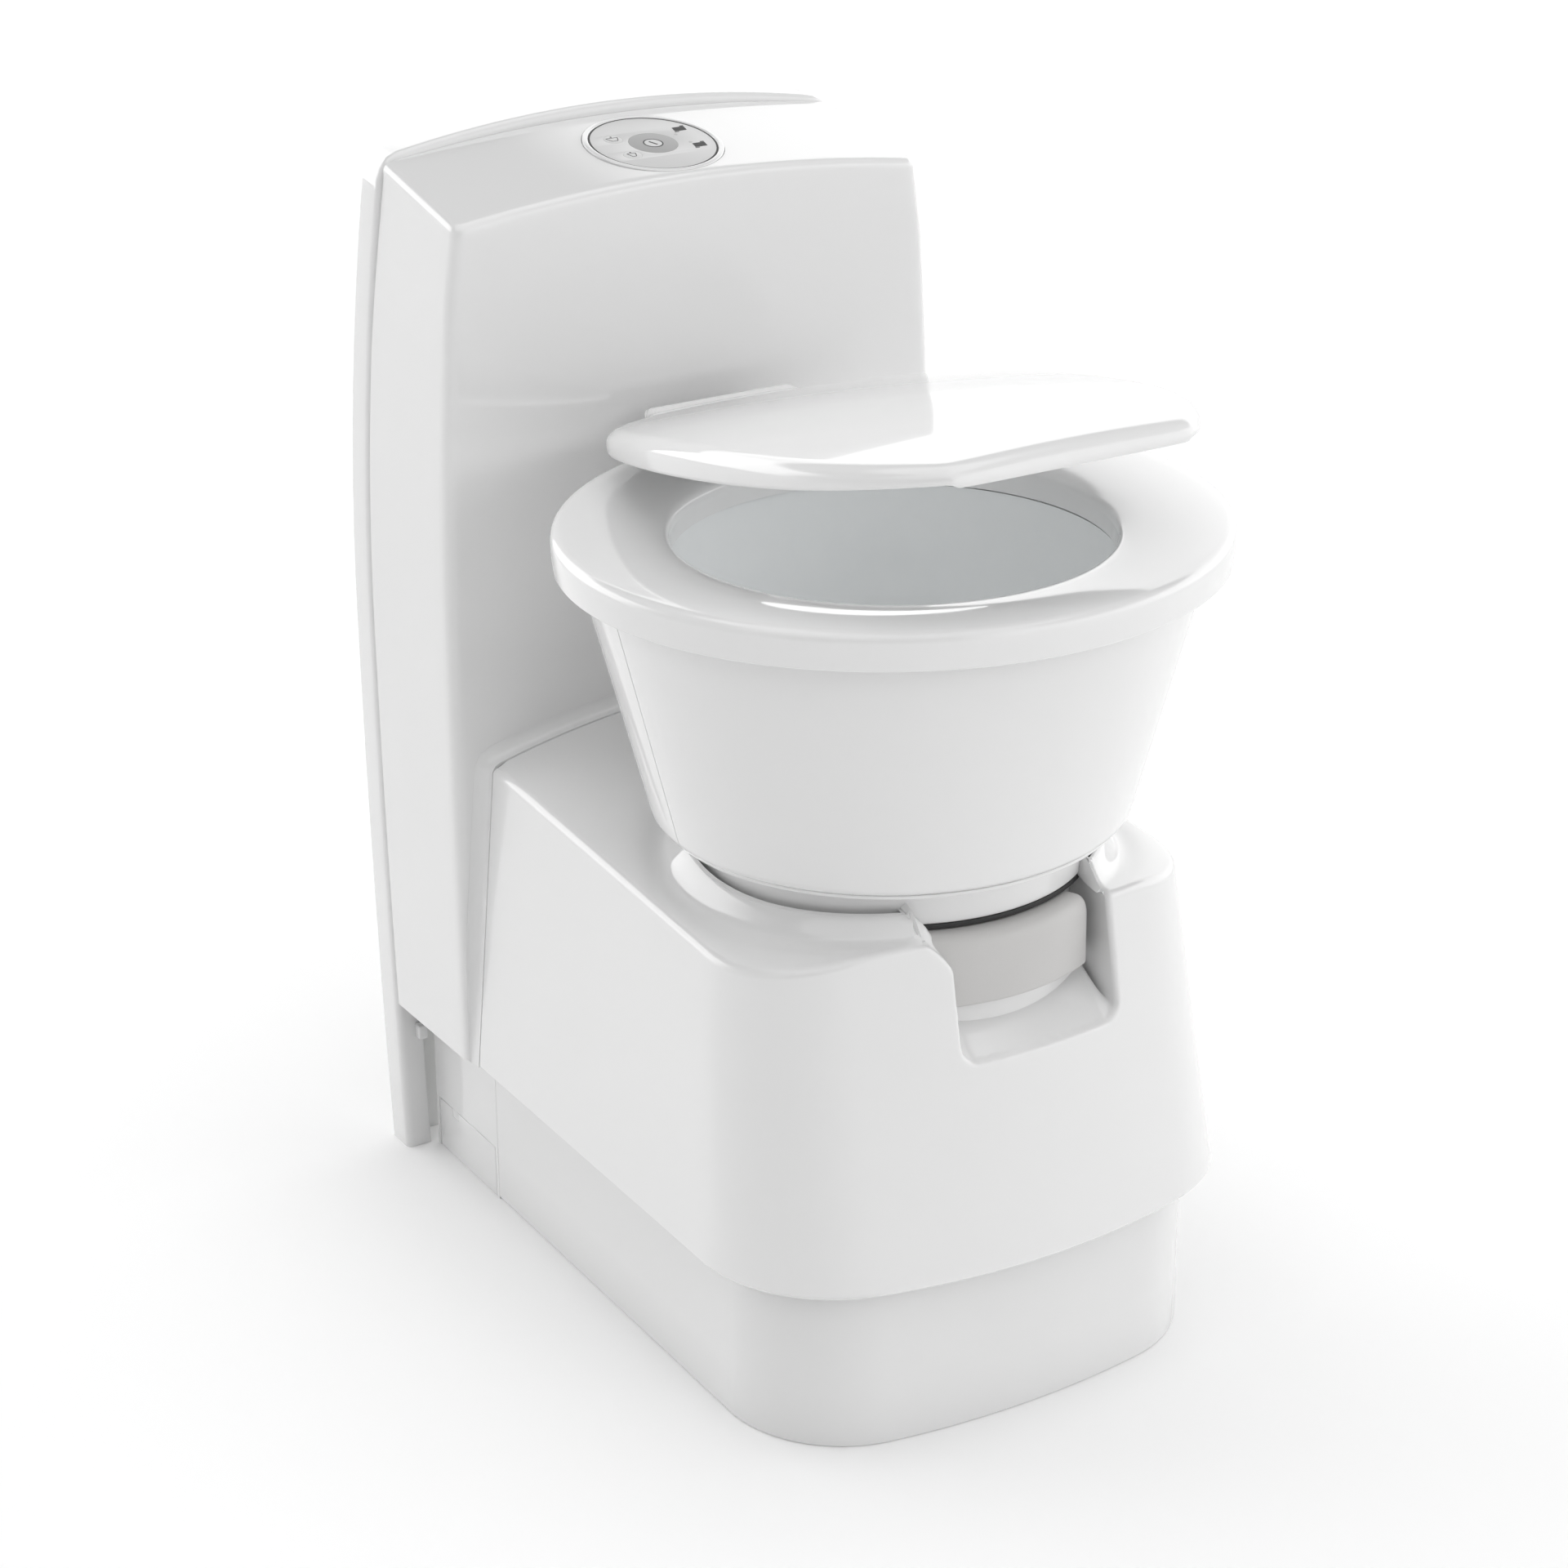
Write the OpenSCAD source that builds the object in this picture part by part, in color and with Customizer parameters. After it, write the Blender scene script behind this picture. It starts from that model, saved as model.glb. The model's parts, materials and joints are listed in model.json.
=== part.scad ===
/* [Overall] */
// Depth from the wall face to the front of the seat
overall_d = 555; // [550:1:562]
// Half of the widest part of the back frame
frame_half_w = 189; // [187:1:192]
// Height at which the back frame is widest
frame_wide_z = 395; // [380:5:410]
// Height of the middle of the back frame's top arc
frame_top_z = 716; // [712:1:722]
// Thickness of the back frame
frame_t = 23; // [20:1:26]
// Thickness of the moulded shells
wall = 3; // [2.5:0.1:3.2]

/* [Tower] */
// Distance of the tower's front face from the wall face
tower_d = 126.6; // [125:0.1:128]
// Height of the lower edge of the covers
skirt_z = 113.5; // [112:0.5:115]
// Slope of the tower's top towards the front, in degrees
tower_slope = 10.4; // [9:0.1:11.5]
// Distance of the control panel's middle from the wall face
panel_y = 75; // [72:1:78]
// Radius of the control panel's bezel
panel_r = 45.5; // [44:0.5:46]

/* [Base] */
// Half width of the plinth
plinth_half_w = 160; // [159:0.5:161]
// Distance of the plinth's front from the wall face
plinth_d = 516; // [512:1:520]
// Half width of the saddle cover at its lower edge
saddle_half_w = 179; // [176:0.5:182]
// Distance of the saddle cover's front from the wall face at its lower edge
saddle_d = 534; // [530:1:536]
// Height of the saddle cover's crown beside the tower
saddle_top_z = 348; // [344:0.5:349]
// Height of the lip of the handle recess
recess_z = 240; // [238:1:244]

/* [Bowl] */
// Distance of the bowl's swivel axis from the wall face
axis_d = 360; // [359:0.5:361]
// Height of the top face of the seat
seat_z = 532.6; // [531:0.1:534]
// Half width of the seat across the object
seat_rx = 203; // [200:0.5:204]
// Half length of the seat along the object
seat_ry = 195; // [193:0.5:195]
// Half width of the seat's opening
hole_rx = 134; // [130:0.5:136]
// Half length of the seat's opening
hole_ry = 131; // [128:0.5:134]
// Angle by which the lid stands open, in degrees
lid_open = 11.6; // [5:0.1:14]

/* [Waste valve] */
// Inner radius of the waste outlet
outlet_r = 42; // [40:0.5:43]
// Distance of the blade's pivot from the swivel axis
pivot_reach = 75; // [74.5:0.1:75.5]
// Outer radius of the slide handle
handle_r = 133; // [131:0.5:133]
// Height of the slide handle's top
handle_top = 315.5; // [312:0.5:315.5]

/* [Cassette] */
// Half width of the cassette
tank_half_w = 145; // [143:0.5:145.5]
// Height of the cassette's top
tank_top_z = 205; // [200:1:205]
// Distance of the cassette's rear face from the wall face
tank_rear = 22; // [21:0.5:24]
// Distance of the cassette's front face from the wall face
tank_front = 420; // [416:1:422]

/* [Hidden] */
$fn = 64;
eps = 0.01;
gap = 0.3;
white = "white";
grey = [0.74, 0.74, 0.73];
dark = [0.2, 0.2, 0.21];
hinge_y = -155;
hinge_z = 542;
knuckle_r = 7.3;
hood_r = 10.3;
hood_half = 50;
deck_z = 228;
deck_t = 4;
bay_half_w = 152;
bay_front = 427;
drum_r = 126;
drum_z = 276;
hub_r = 99;
hub_z = 300;
ring_r = 100;
ring_out_r = 115.7;
skirt_foot_z = 352;
rim_z = 503;
panel_hole_r = panel_r + gap;
pinion_r = ring_r - pivot_reach - gap;
pivot_y = pivot_reach - axis_d;
screw_r = 2.75;
spout_x = -95;
ledge_z = 150;
ledge_y = -112;

// A point list along an arc
function arc(c, r, a0, a1, n) =
    [for (i = [0:n]) let (a = a0 + (a1 - a0) * i / n) c + r * [cos(a), sin(a)]];

// An ellipse as a point list
function ellipse(rx, ry, n = 60) = [for (i = [0:n - 1]) [rx * cos(360 * i / n), ry * sin(360 * i / n)]];

// Plan outline of the base: straight sides, round corners that run into a bowed front
function plan(half_w, front, r, bow, back) =
    let (cy = bow - front,
         yc = cy - sqrt(pow(bow - r, 2) - pow(half_w - r, 2)),
         t = atan2(half_w - r, cy - yc))
    concat([[half_w, -back]],
           arc([half_w - r, yc], r, 0, t - 90, 6),
           arc([0, cy], bow, t - 90, -t - 90, 8),
           arc([r - half_w, yc], r, -t - 90, -180, 6),
           [[-half_w, -back]]);

// Half width of the barrel-shaped back outline at a height
function barrel(z, inset) = frame_half_w - inset
    - (z > frame_wide_z ? pow(z - frame_wide_z, 2) / 4000 : pow(frame_wide_z - z, 2) / 24000);

// Front outline of the back frame or the tower
function back_outline(inset, low, top, corner) =
    let (right = [for (i = [0:8]) let (z = low + (top - corner - low) * i / 8) [barrel(z, inset), z]],
         drop = pow(barrel(top, inset) - corner, 2) / 2170,
         knee = [barrel(top, inset) - corner, top - drop],
         mid = [for (i = [1:3]) let (x = knee[0] * (1 - i / 4)) [x, top - x * x / 2170]],
         half = concat(right, [[knee[0] + corner * 0.7, knee[1] - corner * 0.3], knee], mid, [[0, top]]))
    concat(half, [for (i = [len(half) - 2:-1:0]) [-half[i][0], half[i][1]]]);

// Puts the parts, drawn with the wall face at y = 0, about the middle of the object's floor plan
module place() {
    translate([0, overall_d / 2, 0]) children();
}

// A cuboid from its two corners
module block(low, high) {
    translate(low) cube(high - low);
}

// A prism that stands on an outline
module prism(points, low, high) {
    translate([0, 0, low]) linear_extrude(high - low) polygon(points);
}

// A prism whose outline lies in the X-Z plane, running from one y to another
module wall_prism(points, rear, front) {
    translate([0, rear, 0]) rotate([90, 0, 0]) linear_extrude(rear - front) polygon(points);
}

// A rod along X
module rod_x(x0, x1, y, z, r) {
    translate([x0, y, z]) rotate([0, 90, 0]) cylinder(r = r, h = x1 - x0);
}

// A rod along Y
module rod_y(x, y0, y1, z, r) {
    translate([x, y1, z]) rotate([90, 0, 0]) cylinder(r = r, h = y1 - y0);
}

// An upright pipe, or with no inner radius a rod
module pipe(outer, inner, low, high) {
    difference() {
        translate([0, 0, low]) cylinder(r = outer, h = high - low);
        if (inner > 0) translate([0, 0, low - 1]) cylinder(r = inner, h = high - low + 2);
    }
}

// The same thing on both sides
module both_sides() {
    children();
    mirror([1, 0, 0]) children();
}

module at_axis() {
    translate([0, -axis_d, 0]) children();
}

module at_pivot() {
    translate([0, pivot_y, 0]) children();
}

// The frame of the control panel: origin in the middle of its face, Z straight out of it
module at_panel() {
    rise = (tower_d - panel_y) * tan(tower_slope);
    translate([0, -panel_y, frame_top_z - 26.5 + rise]) rotate([tower_slope, 0, 0]) children();
}

// ---- base ----

module floor_tray() {
    color(white) place() {
        difference() {
            prism(plan(plinth_half_w - 4.5, plinth_d - 4.5, 77, 546, 26), 0, 5);
            for (x = [-90, 90]) for (y = [-70, -465])
                translate([x, y, -1]) cylinder(r = screw_r, h = 8);
        }
        both_sides() block([148.5, -418, 5], [151.5, -30, 16]);
    }
}

module plinth_ring(low, high) {
    difference() {
        prism(plan(plinth_half_w, plinth_d, 81, 550, 26), low, high);
        prism(plan(plinth_half_w - wall, plinth_d - wall, 78, 547, 20), low - 1, high + 1);
    }
}

module plinth_front() {
    color(white) place() intersection() {
        plinth_ring(0, 118);
        block([-200, -600, 0], [200, -120, 200]);
    }
}

module plinth_side() {
    difference() {
        block([plinth_half_w - wall, -119.6, 0], [plinth_half_w, -26, 118]);
        block([plinth_half_w - 1.5, -116, -1], [plinth_half_w + 1, -30, 38]);
    }
}

module plinth_side_right() {
    color(white) place() plinth_side();
}

module plinth_side_left() {
    color(white) place() mirror([1, 0, 0]) plinth_side();
}

module service_panel() {
    block([plinth_half_w - 1.5, -115.6, 0], [plinth_half_w, -30.4, 37.6]);
}

module service_panel_right() {
    color(white) place() service_panel();
}

module service_panel_left() {
    color(white) place() mirror([1, 0, 0]) service_panel();
}

module chassis() {
    color(white) place() difference() {
        block([-bay_half_w - wall, -bay_front - wall, 5], [bay_half_w + wall, -24, deck_z + deck_t]);
        block([-bay_half_w, -bay_front, 4], [bay_half_w, -20, deck_z]);
        at_axis() translate([0, 0, deck_z - 1]) cylinder(r = 60, h = 9);
        at_pivot() translate([0, 0, deck_z - 1]) cylinder(r = 8, h = 9);
    }
}

module back_frame() {
    color(white) place() difference() {
        wall_prism(back_outline(0, 0, frame_top_z, 14), 0, -frame_t);
        wall_prism(back_outline(18, -1, frame_top_z - 18, 10), -wall, -frame_t - 1);
        block([-149, -40, -1], [149, 1, 233]);
        for (x = [-110, 110]) for (z = [300, 640])
            rod_y(x, -10, 1, z, screw_r);
    }
}

module cover_latches() {
    color(white) place() both_sides() block([166, -30, 85], [173, -frame_t, 96]);
}

module tower_solid(inset) {
    intersection() {
        wall_prism(back_outline(inset + 6, skirt_z - inset, frame_top_z + 40, 4), inset - frame_t - gap, inset - tower_d);
        translate([0, inset - tower_d, frame_top_z - 26.5 - inset]) rotate([90 + tower_slope, 0, 0])
            translate([0, -1100, -400]) cylinder(r = 1100, h = 800, $fn = 360);
    }
}

module tower_cover() {
    color(white) place() difference() {
        tower_solid(0);
        tower_solid(wall);
        block([-162, -tower_d - 1, skirt_z - 1], [162, -tower_d + 5, 236]);
        rod_y(95, -tower_d - 1, -tower_d + 5, 262, 9);
        at_panel() translate([0, 0, -12]) cylinder(r = panel_hole_r, h = 30);
    }
}

module saddle_solid(inset) {
    intersection() {
        hull() {
            prism(plan(saddle_half_w - inset, saddle_d - inset, 92, 431, 127), skirt_z - inset, skirt_z - inset + eps);
            prism(plan(152 - inset, 486 - inset, 70, 395, 127), 360, 360 + eps);
        }
        translate([0, -127, saddle_top_z - inset]) rotate([93.6, 0, 0])
            translate([0, -500, -50]) cylinder(r = 500, h = 500, $fn = 360);
    }
}

// The recess in the saddle's front that the slide handle is reached through
module recess_cut() {
    wall_prism(concat([[77, 400], [-46, 400], [-40, 292]],
                      arc([-30, recess_z + 10], 10, 180, 270, 4),
                      arc([67, recess_z + 10], 10, 270, 360, 4)), -450, -600);
}

module saddle_cover() {
    color(white) place() difference() {
        saddle_solid(0);
        saddle_solid(wall);
        block([-200, -127.5 - wall, 100], [200, -120, saddle_top_z - 12]);
        at_axis() translate([0, 0, 280]) cylinder(r = 127, h = 100);
        recess_cut();
    }
}

module handle_pocket() {
    color(white) place() difference() {
        union() {
            block([-43, -496, recess_z - 3.5], [80, -455, recess_z]);
            block([77.2, -484, recess_z], [80, -455, 296]);
        }
        at_axis() pipe(drum_r + gap, 0, 200, 320);
    }
}

module swivel_base() {
    color(white) place() difference() {
        at_axis() union() {
            pipe(drum_r, 60, deck_z + deck_t, drum_z);
            pipe(hub_r, 60, drum_z, hub_z);
        }
        at_pivot() translate([0, 0, 278]) cylinder(r = pinion_r + 2, h = 14);
        at_pivot() translate([0, 0, 220]) cylinder(r = 6, h = 60);
        rod_y(95, -300, -200, 262, 7);
    }
}

module lip_seal() {
    color(dark) place() at_axis() pipe(59.7, outlet_r + 4.4, deck_z + deck_t, 238);
}

module bearing_ring() {
    color(grey) place() at_axis() pipe(96, 80, hub_z, hub_z + 3);
}

// ---- flushing ----

module flush_tank() {
    color("gainsboro") place() difference() {
        union() {
            block([-125, -117, 360], [125, -32, 600]);
            translate([-60, -75, 600]) cylinder(r = 20, h = 16);
        }
        block([-122, -114, 363], [122, -35, 597]);
        translate([-60, -75, 590]) cylinder(r = 17, h = 30);
    }
}

module filler_cap() {
    color(grey) place() translate([-60, -75, 0]) difference() {
        pipe(23, 0, 605, 619);
        pipe(20.2, 0, 604, 616);
    }
}

module flush_pump() {
    color(dark) place() translate([95, -72, 0]) pipe(20, 0, deck_z + deck_t, 290);
}

module suction_hose() {
    color(grey) place() translate([95, -72, 0]) pipe(6, 4, 290, 360);
}

module flush_hose() {
    color(grey) place() difference() {
        rod_y(95, -288, -92.6, 262, 6);
        rod_y(95, -289, -92, 262, 4);
    }
}

module wiring_loom() {
    color(dark) place() {
        translate([140, -75, 262]) cylinder(r = 2.5, h = 404);
        translate([140, -75, 262]) sphere(r = 2.5);
        translate([140, -75, 666]) sphere(r = 2.5);
        rod_x(115.5, 140, -75, 262, 2.5);
        rod_x(20, 140, -75, 666, 2.5);
    }
}

// ---- control panel ----

module control_housing() {
    color(dark) place() at_panel() difference() {
        pipe(panel_r - 0.5, 0, -24, -4);
        pipe(panel_r - 3, 0, -22, -3);
    }
}

module circuit_board() {
    color("darkgreen") place() at_panel() pipe(panel_r - 3.4, 0, -13, -11.4);
}

module control_bezel() {
    color(white) place() at_panel() {
        pipe(panel_r, panel_r - 4, -4, 0.8);
        pipe(panel_r - 4, panel_r - 7.5, -4, -3);
    }
}

module at_keys() {
    for (y = [-13, 13]) translate([-22, y, 0]) children();
}

module membrane_panel() {
    color("whitesmoke") place() at_panel() difference() {
        pipe(panel_r - 4.3, 16.1, -3, 0);
        at_keys() translate([0, 0, -4]) cylinder(r = 6.4, h = 6);
    }
}

module key_shape(r) {
    pipe(r, 0, -4, 0);
    pipe(2, 0, -9.5, -4);
}

module power_key() {
    color(grey) place() at_panel() key_shape(15.8);
}

module flush_key_long() {
    color("gainsboro") place() at_panel() translate([-22, 13, 0]) key_shape(6);
}

module flush_key_short() {
    color("gainsboro") place() at_panel() translate([-22, -13, 0]) key_shape(6);
}

// ---- bowl ----

module neck_ring() {
    color(white) place() at_axis() {
        pipe(114, 84, hub_z + 3 + gap, 321);
        pipe(122, 84, 321, 349);
        difference() {
            prism(ellipse(145.5, 140.5), 349, skirt_foot_z);
            pipe(84, 0, 340, 360);
        }
    }
}

module skirt_solid(inset, low, high) {
    slope_x = (188 - 147) / 156;
    slope_y = (181 - 142) / 156;
    hull() for (z = [low, high]) let (up = z - skirt_foot_z)
        prism(ellipse(147 - inset + slope_x * up, 142 - inset + slope_y * up), z, z + eps);
}

module skirt_shell() {
    at_axis() difference() {
        skirt_solid(0, skirt_foot_z, 508);
        skirt_solid(wall, skirt_foot_z - 2, rim_z - 4);
        prism(ellipse(183, 176), rim_z, 520);
        pipe(146, 0, 480, 520);
    }
}

module bowl_skirt_front() {
    color(white) place() intersection() {
        skirt_shell();
        block([-250, -600, 300], [250, -axis_d - 0.15, 520]);
    }
}

module bowl_skirt_rear() {
    color(white) place() {
        intersection() {
            skirt_shell();
            block([-250, -axis_d + 0.15, 300], [250, -100, 520]);
        }
        difference() {
            block([-62, -215, 482], [62, -146, 500]);
            at_axis() skirt_solid(1, 470, 508);
        }
    }
}

module bowl_inlay() {
    inner = [[134, 507], [131, 480], [126, 448], [116, 420], [98, 404], [74, 396], [54, 389],
             [outlet_r, 378], [outlet_r, 229.5]];
    outer = [[outlet_r + 4, 229.5], [outlet_r + 4, 374], [56, 384], [76, 391], [101, 400], [120, 417],
             [130, 446], [136, 480], [138, rim_z], [172, rim_z], [172, 507]];
    color([0.85, 0.86, 0.86]) place() at_axis() rotate_extrude($fn = 96) polygon(concat(inner, outer));
}

module flush_nozzle() {
    color(white) place() difference() {
        rod_y(0, -218, -200, 470, 9);
        rod_y(0, -219, -199, 470, 6);
    }
}

module hinge_brackets() {
    color(white) place() both_sides() difference() {
        union() {
            block([22, hinge_y - 6, 500], [32, hinge_y + 6, hinge_z]);
            rod_x(22, 32, hinge_y, hinge_z, knuckle_r);
        }
        rod_x(20, 34, hinge_y, hinge_z, 4.05);
    }
}

module hinge_pin() {
    color("silver") place() rod_x(-47, 47, hinge_y, hinge_z, 4);
}

module hinge_arm(x0, x1, front, low, high) {
    difference() {
        union() {
            block([x0, front, low], [x1, hinge_y, high]);
            rod_x(x0, x1, hinge_y, hinge_z, knuckle_r);
        }
        rod_x(x0 - 1, x1 + 1, hinge_y, hinge_z, 4.1);
    }
}

module seat_ring() {
    color(white) place() {
        difference() {
            at_axis() difference() {
                prism(ellipse(seat_rx, seat_ry), 510, seat_z);
                difference() {
                    prism(ellipse(seat_rx - 4, seat_ry - 4), 500, 525);
                    prism(ellipse(hole_rx + 6, hole_ry + 6), 490, 530);
                }
                prism(ellipse(hole_rx, hole_ry), 500, 540);
            }
            both_sides() block([33.7, -176.5, 500], [44.3, -150, 540]);
        }
        both_sides() hinge_arm(34, 44, -185, 526, hinge_z - 5);
    }
}

module seat_bumpers() {
    color(grey) place() at_axis() for (a = [35, 145, 215, 325]) rotate([0, 0, a])
        translate([158, 0, 0]) pipe(9, 0, 507 + gap, 525);
}

// Half of the lid's outline, from the middle of its rear edge round to the middle of its front
function lid_half(inset) = [
    [0, hinge_y], [hood_half - inset, hinge_y], [60 - inset, -172 - inset / 2], [78 - inset, -190 - inset],
    [101 - inset, -200 - inset], [117 - inset, -217 - inset / 2], [131 - inset, -275],
    [139 - inset, -330], [142 - inset, -386], [139 - inset, -436], [130 - inset, -479],
    [114 - inset, -514 + inset], [88 - inset, -543 + inset], [77 - inset, -550 + inset], [0, -550 + inset]
];

function lid_outline(inset) =
    let (half = lid_half(inset)) concat(half, [for (i = [len(half) - 2:-1:1]) [-half[i][0], half[i][1]]]);

module dome(top, r) {
    translate([0, -350, top - r]) sphere(r = r, $fn = 360);
}

// The lid's hood wraps over the hinge from the front to a lip behind it
module hood() {
    intersection() {
        rod_x(-hood_half, hood_half, hinge_y, hinge_z, hood_r);
        translate([-60, hinge_y, hinge_z]) rotate([90, 0, 90]) linear_extrude(120)
            polygon([[0, 0], [13, 19.3], [-20, 19.3], [-20, 0]]);
    }
}

module lid_shell() {
    color(white) place() translate([0, hinge_y, hinge_z]) rotate([-lid_open, 0, 0])
        translate([0, -hinge_y, -hinge_z]) {
            difference() {
                union() {
                    intersection() {
                        prism(lid_outline(0), 534.4, 575);
                        dome(561.5, 1600);
                    }
                    hood();
                }
                intersection() {
                    prism(lid_outline(4), 530, 575);
                    dome(557.5, 1600);
                }
                block([2 - hood_half, -190, 530], [hood_half - 2, -140, hinge_z]);
                rod_x(2 - hood_half, hood_half - 2, hinge_y, hinge_z, hood_r - 2.3);
            }
            both_sides() hinge_arm(8, 20, -176, hinge_z - 5, hinge_z + 7.5);
        }
}

// ---- waste valve ----

module slide_handle() {
    grip = [[104, 290], [117, 290], [117, 278], [drum_r + 0.6, 278], [drum_r + 0.6, 272],
            [handle_r, 272], [handle_r, handle_top - 6],
            [handle_r - 7, handle_top], [117, handle_top], [117, 294], [104, 294]];
    tail = [[104, 290], [117, 290], [117, 278], [handle_r, 278], [handle_r, 300], [117, 300], [117, 294], [104, 294]];
    color(grey) place() at_axis() {
        rotate([0, 0, -112]) rotate_extrude(angle = 48.7, $fn = 96) polygon(grip);
        rotate([0, 0, -130]) rotate_extrude(angle = 18.2, $fn = 96) polygon(tail);
    }
}

module drive_ring() {
    color(grey) place() at_axis() pipe(ring_out_r, ring_r, 279, 290);
}

module drive_pinion() {
    color(grey) place() at_pivot() {
        pipe(pinion_r, 0, 279.5, 290);
        pipe(5.8, 0, 227, 279.5);
    }
}

module valve_blade() {
    color(grey) place() {
        at_axis() pipe(49, 0, 211, 216);
        difference() {
            block([-12, -axis_d, 211], [12, pivot_y, 216]);
            at_axis() pipe(48.9, 0, 200, 220);
            at_pivot() pipe(15.9, 0, 200, 220);
        }
        at_pivot() {
            pipe(16, 0, 211, 216);
            pipe(5.8, 0, 216, 226.4);
        }
    }
}

module valve_housing() {
    color(dark) place() difference() {
        block([-132, -417, tank_top_z], [60, -224, 222]);
        at_axis() pipe(50, 0, 210.4, 216.6);
        translate([-pivot_reach, pivot_y, 0]) pipe(50, 0, 210.4, 216.6);
        at_pivot() rotate([0, 0, 180]) translate([0, 0, 210.4])
            rotate_extrude(angle = 90, $fn = 96) translate([0, 0]) square([pivot_reach + 50, 6.2]);
        at_pivot() pipe(17, 0, 210.4, 216.6);
        block([-12.6, -axis_d, 210.4], [12.6, pivot_y, 216.6]);
        block([-pivot_reach, pivot_y - 12.6, 210.4], [0, pivot_y + 12.6, 216.6]);
        at_axis() pipe(outlet_r, 0, 200, 230);
        at_pivot() pipe(6, 0, 210, 230);
    }
}

module valve_seal() {
    color(dark) place() at_axis() pipe(50, outlet_r, 222, 226);
}

// ---- cassette ----

module cassette_tank_lower() {
    color("gainsboro") place() difference() {
        union() {
            difference() {
                block([-tank_half_w, -tank_front, 18], [tank_half_w, -tank_rear, 112]);
                block([4 - tank_half_w, 4 - tank_front, 22], [tank_half_w - 4, -4 - tank_rear, 113]);
            }
            both_sides() block([100, -tank_front, 18], [tank_half_w, -366, 58]);
            both_sides() block([112, -365, 6.5], [tank_half_w, -26, 18.5]);
            both_sides() for (y = [-345, -75]) block([53, y, 7.5], [67, y + 18, 18.5]);
        }
        both_sides() block([114, -tank_front - 1, 0], [tank_half_w + 1, -371, 54]);
        both_sides() rod_x(103.9, 120, -396, 28, 4.05);
        both_sides() rod_y(60, -370, -40, 12.5, 3.6);
    }
}

module cassette_tank_upper() {
    color("gainsboro") place() {
        difference() {
            union() {
                block([-tank_half_w, -tank_front, 112], [tank_half_w, ledge_y, tank_top_z]);
                block([-tank_half_w, ledge_y - 5, 112], [tank_half_w, -tank_rear, ledge_z]);
            }
            block([4 - tank_half_w, 4 - tank_front, 111], [tank_half_w - 4, ledge_y - 4, tank_top_z - 4]);
            block([4 - tank_half_w, ledge_y - 10, 111], [tank_half_w - 4, -4 - tank_rear, ledge_z - 4]);
            at_axis() pipe(outlet_r + 2, 0, 190, 220);
            translate([spout_x, -62, 140]) cylinder(r = 20, h = 20);
            translate([100, -62, 140]) cylinder(r = 5.4, h = 20);
        }
        for (x = [98, 118]) difference() {
            block([x, -156, 184], [x + 4, -144, tank_top_z - 3.5]);
            rod_x(x - 1, x + 5, -150, 190, 3.1);
        }
        both_sides() difference() {
            block([62, -tank_rear - 0.5, 128], [70, -8, 142]);
            rod_x(60, 72, -15, 135, 3.1);
        }
    }
}

module level_float() {
    color(grey) place() {
        rod_x(97, 123, -150, 190, 3);
        block([106, -210, 187.5], [114, -150, 192.5]);
        translate([110, -215, 172]) cylinder(r = 16, h = 20.5);
    }
}

module pour_spout() {
    color(grey) place() translate([spout_x, -62, 0]) difference() {
        union() {
            pipe(19.5, 0, 146, 151);
            pipe(24, 0, ledge_z + gap, 206);
            rod_x(0, 160.5, 0, 182, 22);
        }
        pipe(16, 0, 140, 182);
        rod_x(0, 165, 0, 182, 19);
    }
}

module spout_cap() {
    color(dark) place() difference() {
        rod_x(52, 70, -62, 182, 26);
        rod_x(51, 66, -62, 182, 22.3);
    }
}

module vent_button() {
    color(grey) place() translate([100, -62, 0]) {
        pipe(9, 0, 156, 166);
        pipe(5, 0, 138, 156);
    }
}

module carry_handle() {
    color(dark) place() {
        both_sides() block([51, -19, 74], [60, -11, 139]);
        block([-51, -19, 74], [51, -11, 86]);
        both_sides() rod_x(60, 69, -15, 135, 3);
    }
}

module trolley_handle() {
    color(dark) place() {
        both_sides() rod_y(60, -360, -14, 12.5, 3.5);
        block([-68, -14, 8], [68, -5, 21]);
    }
}

module wheel() {
    difference() {
        rod_x(118, 140, -396, 28, 21.5);
        rod_x(117, 141, -396, 28, 4.1);
    }
}

module wheel_right() {
    color(dark) place() wheel();
}

module wheel_left() {
    color(dark) place() mirror([1, 0, 0]) wheel();
}

module wheel_pins() {
    color("silver") place() both_sides() rod_x(104, 142, -396, 28, 4);
}

floor_tray();
plinth_front();
plinth_side_left();
plinth_side_right();
service_panel_left();
service_panel_right();
chassis();
back_frame();
cover_latches();
tower_cover();
saddle_cover();
handle_pocket();
swivel_base();
lip_seal();
bearing_ring();
flush_tank();
filler_cap();
flush_pump();
suction_hose();
flush_hose();
wiring_loom();
control_housing();
circuit_board();
control_bezel();
membrane_panel();
power_key();
flush_key_long();
flush_key_short();
neck_ring();
bowl_skirt_front();
bowl_skirt_rear();
bowl_inlay();
flush_nozzle();
hinge_brackets();
hinge_pin();
seat_ring();
seat_bumpers();
lid_shell();
slide_handle();
drive_ring();
drive_pinion();
cassette_tank_lower();
cassette_tank_upper();
valve_housing();
valve_blade();
valve_seal();
pour_spout();
spout_cap();
vent_button();
carry_handle();
trolley_handle();
wheel_left();
wheel_right();
wheel_pins();
level_float();
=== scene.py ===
"""A built-in cassette toilet: white covers, swivelling bowl, seat, lid, slide lever and waste cassette."""

import json
import math

import bmesh
import bpy
import numpy as np
from mathutils import Matrix, Vector


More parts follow.
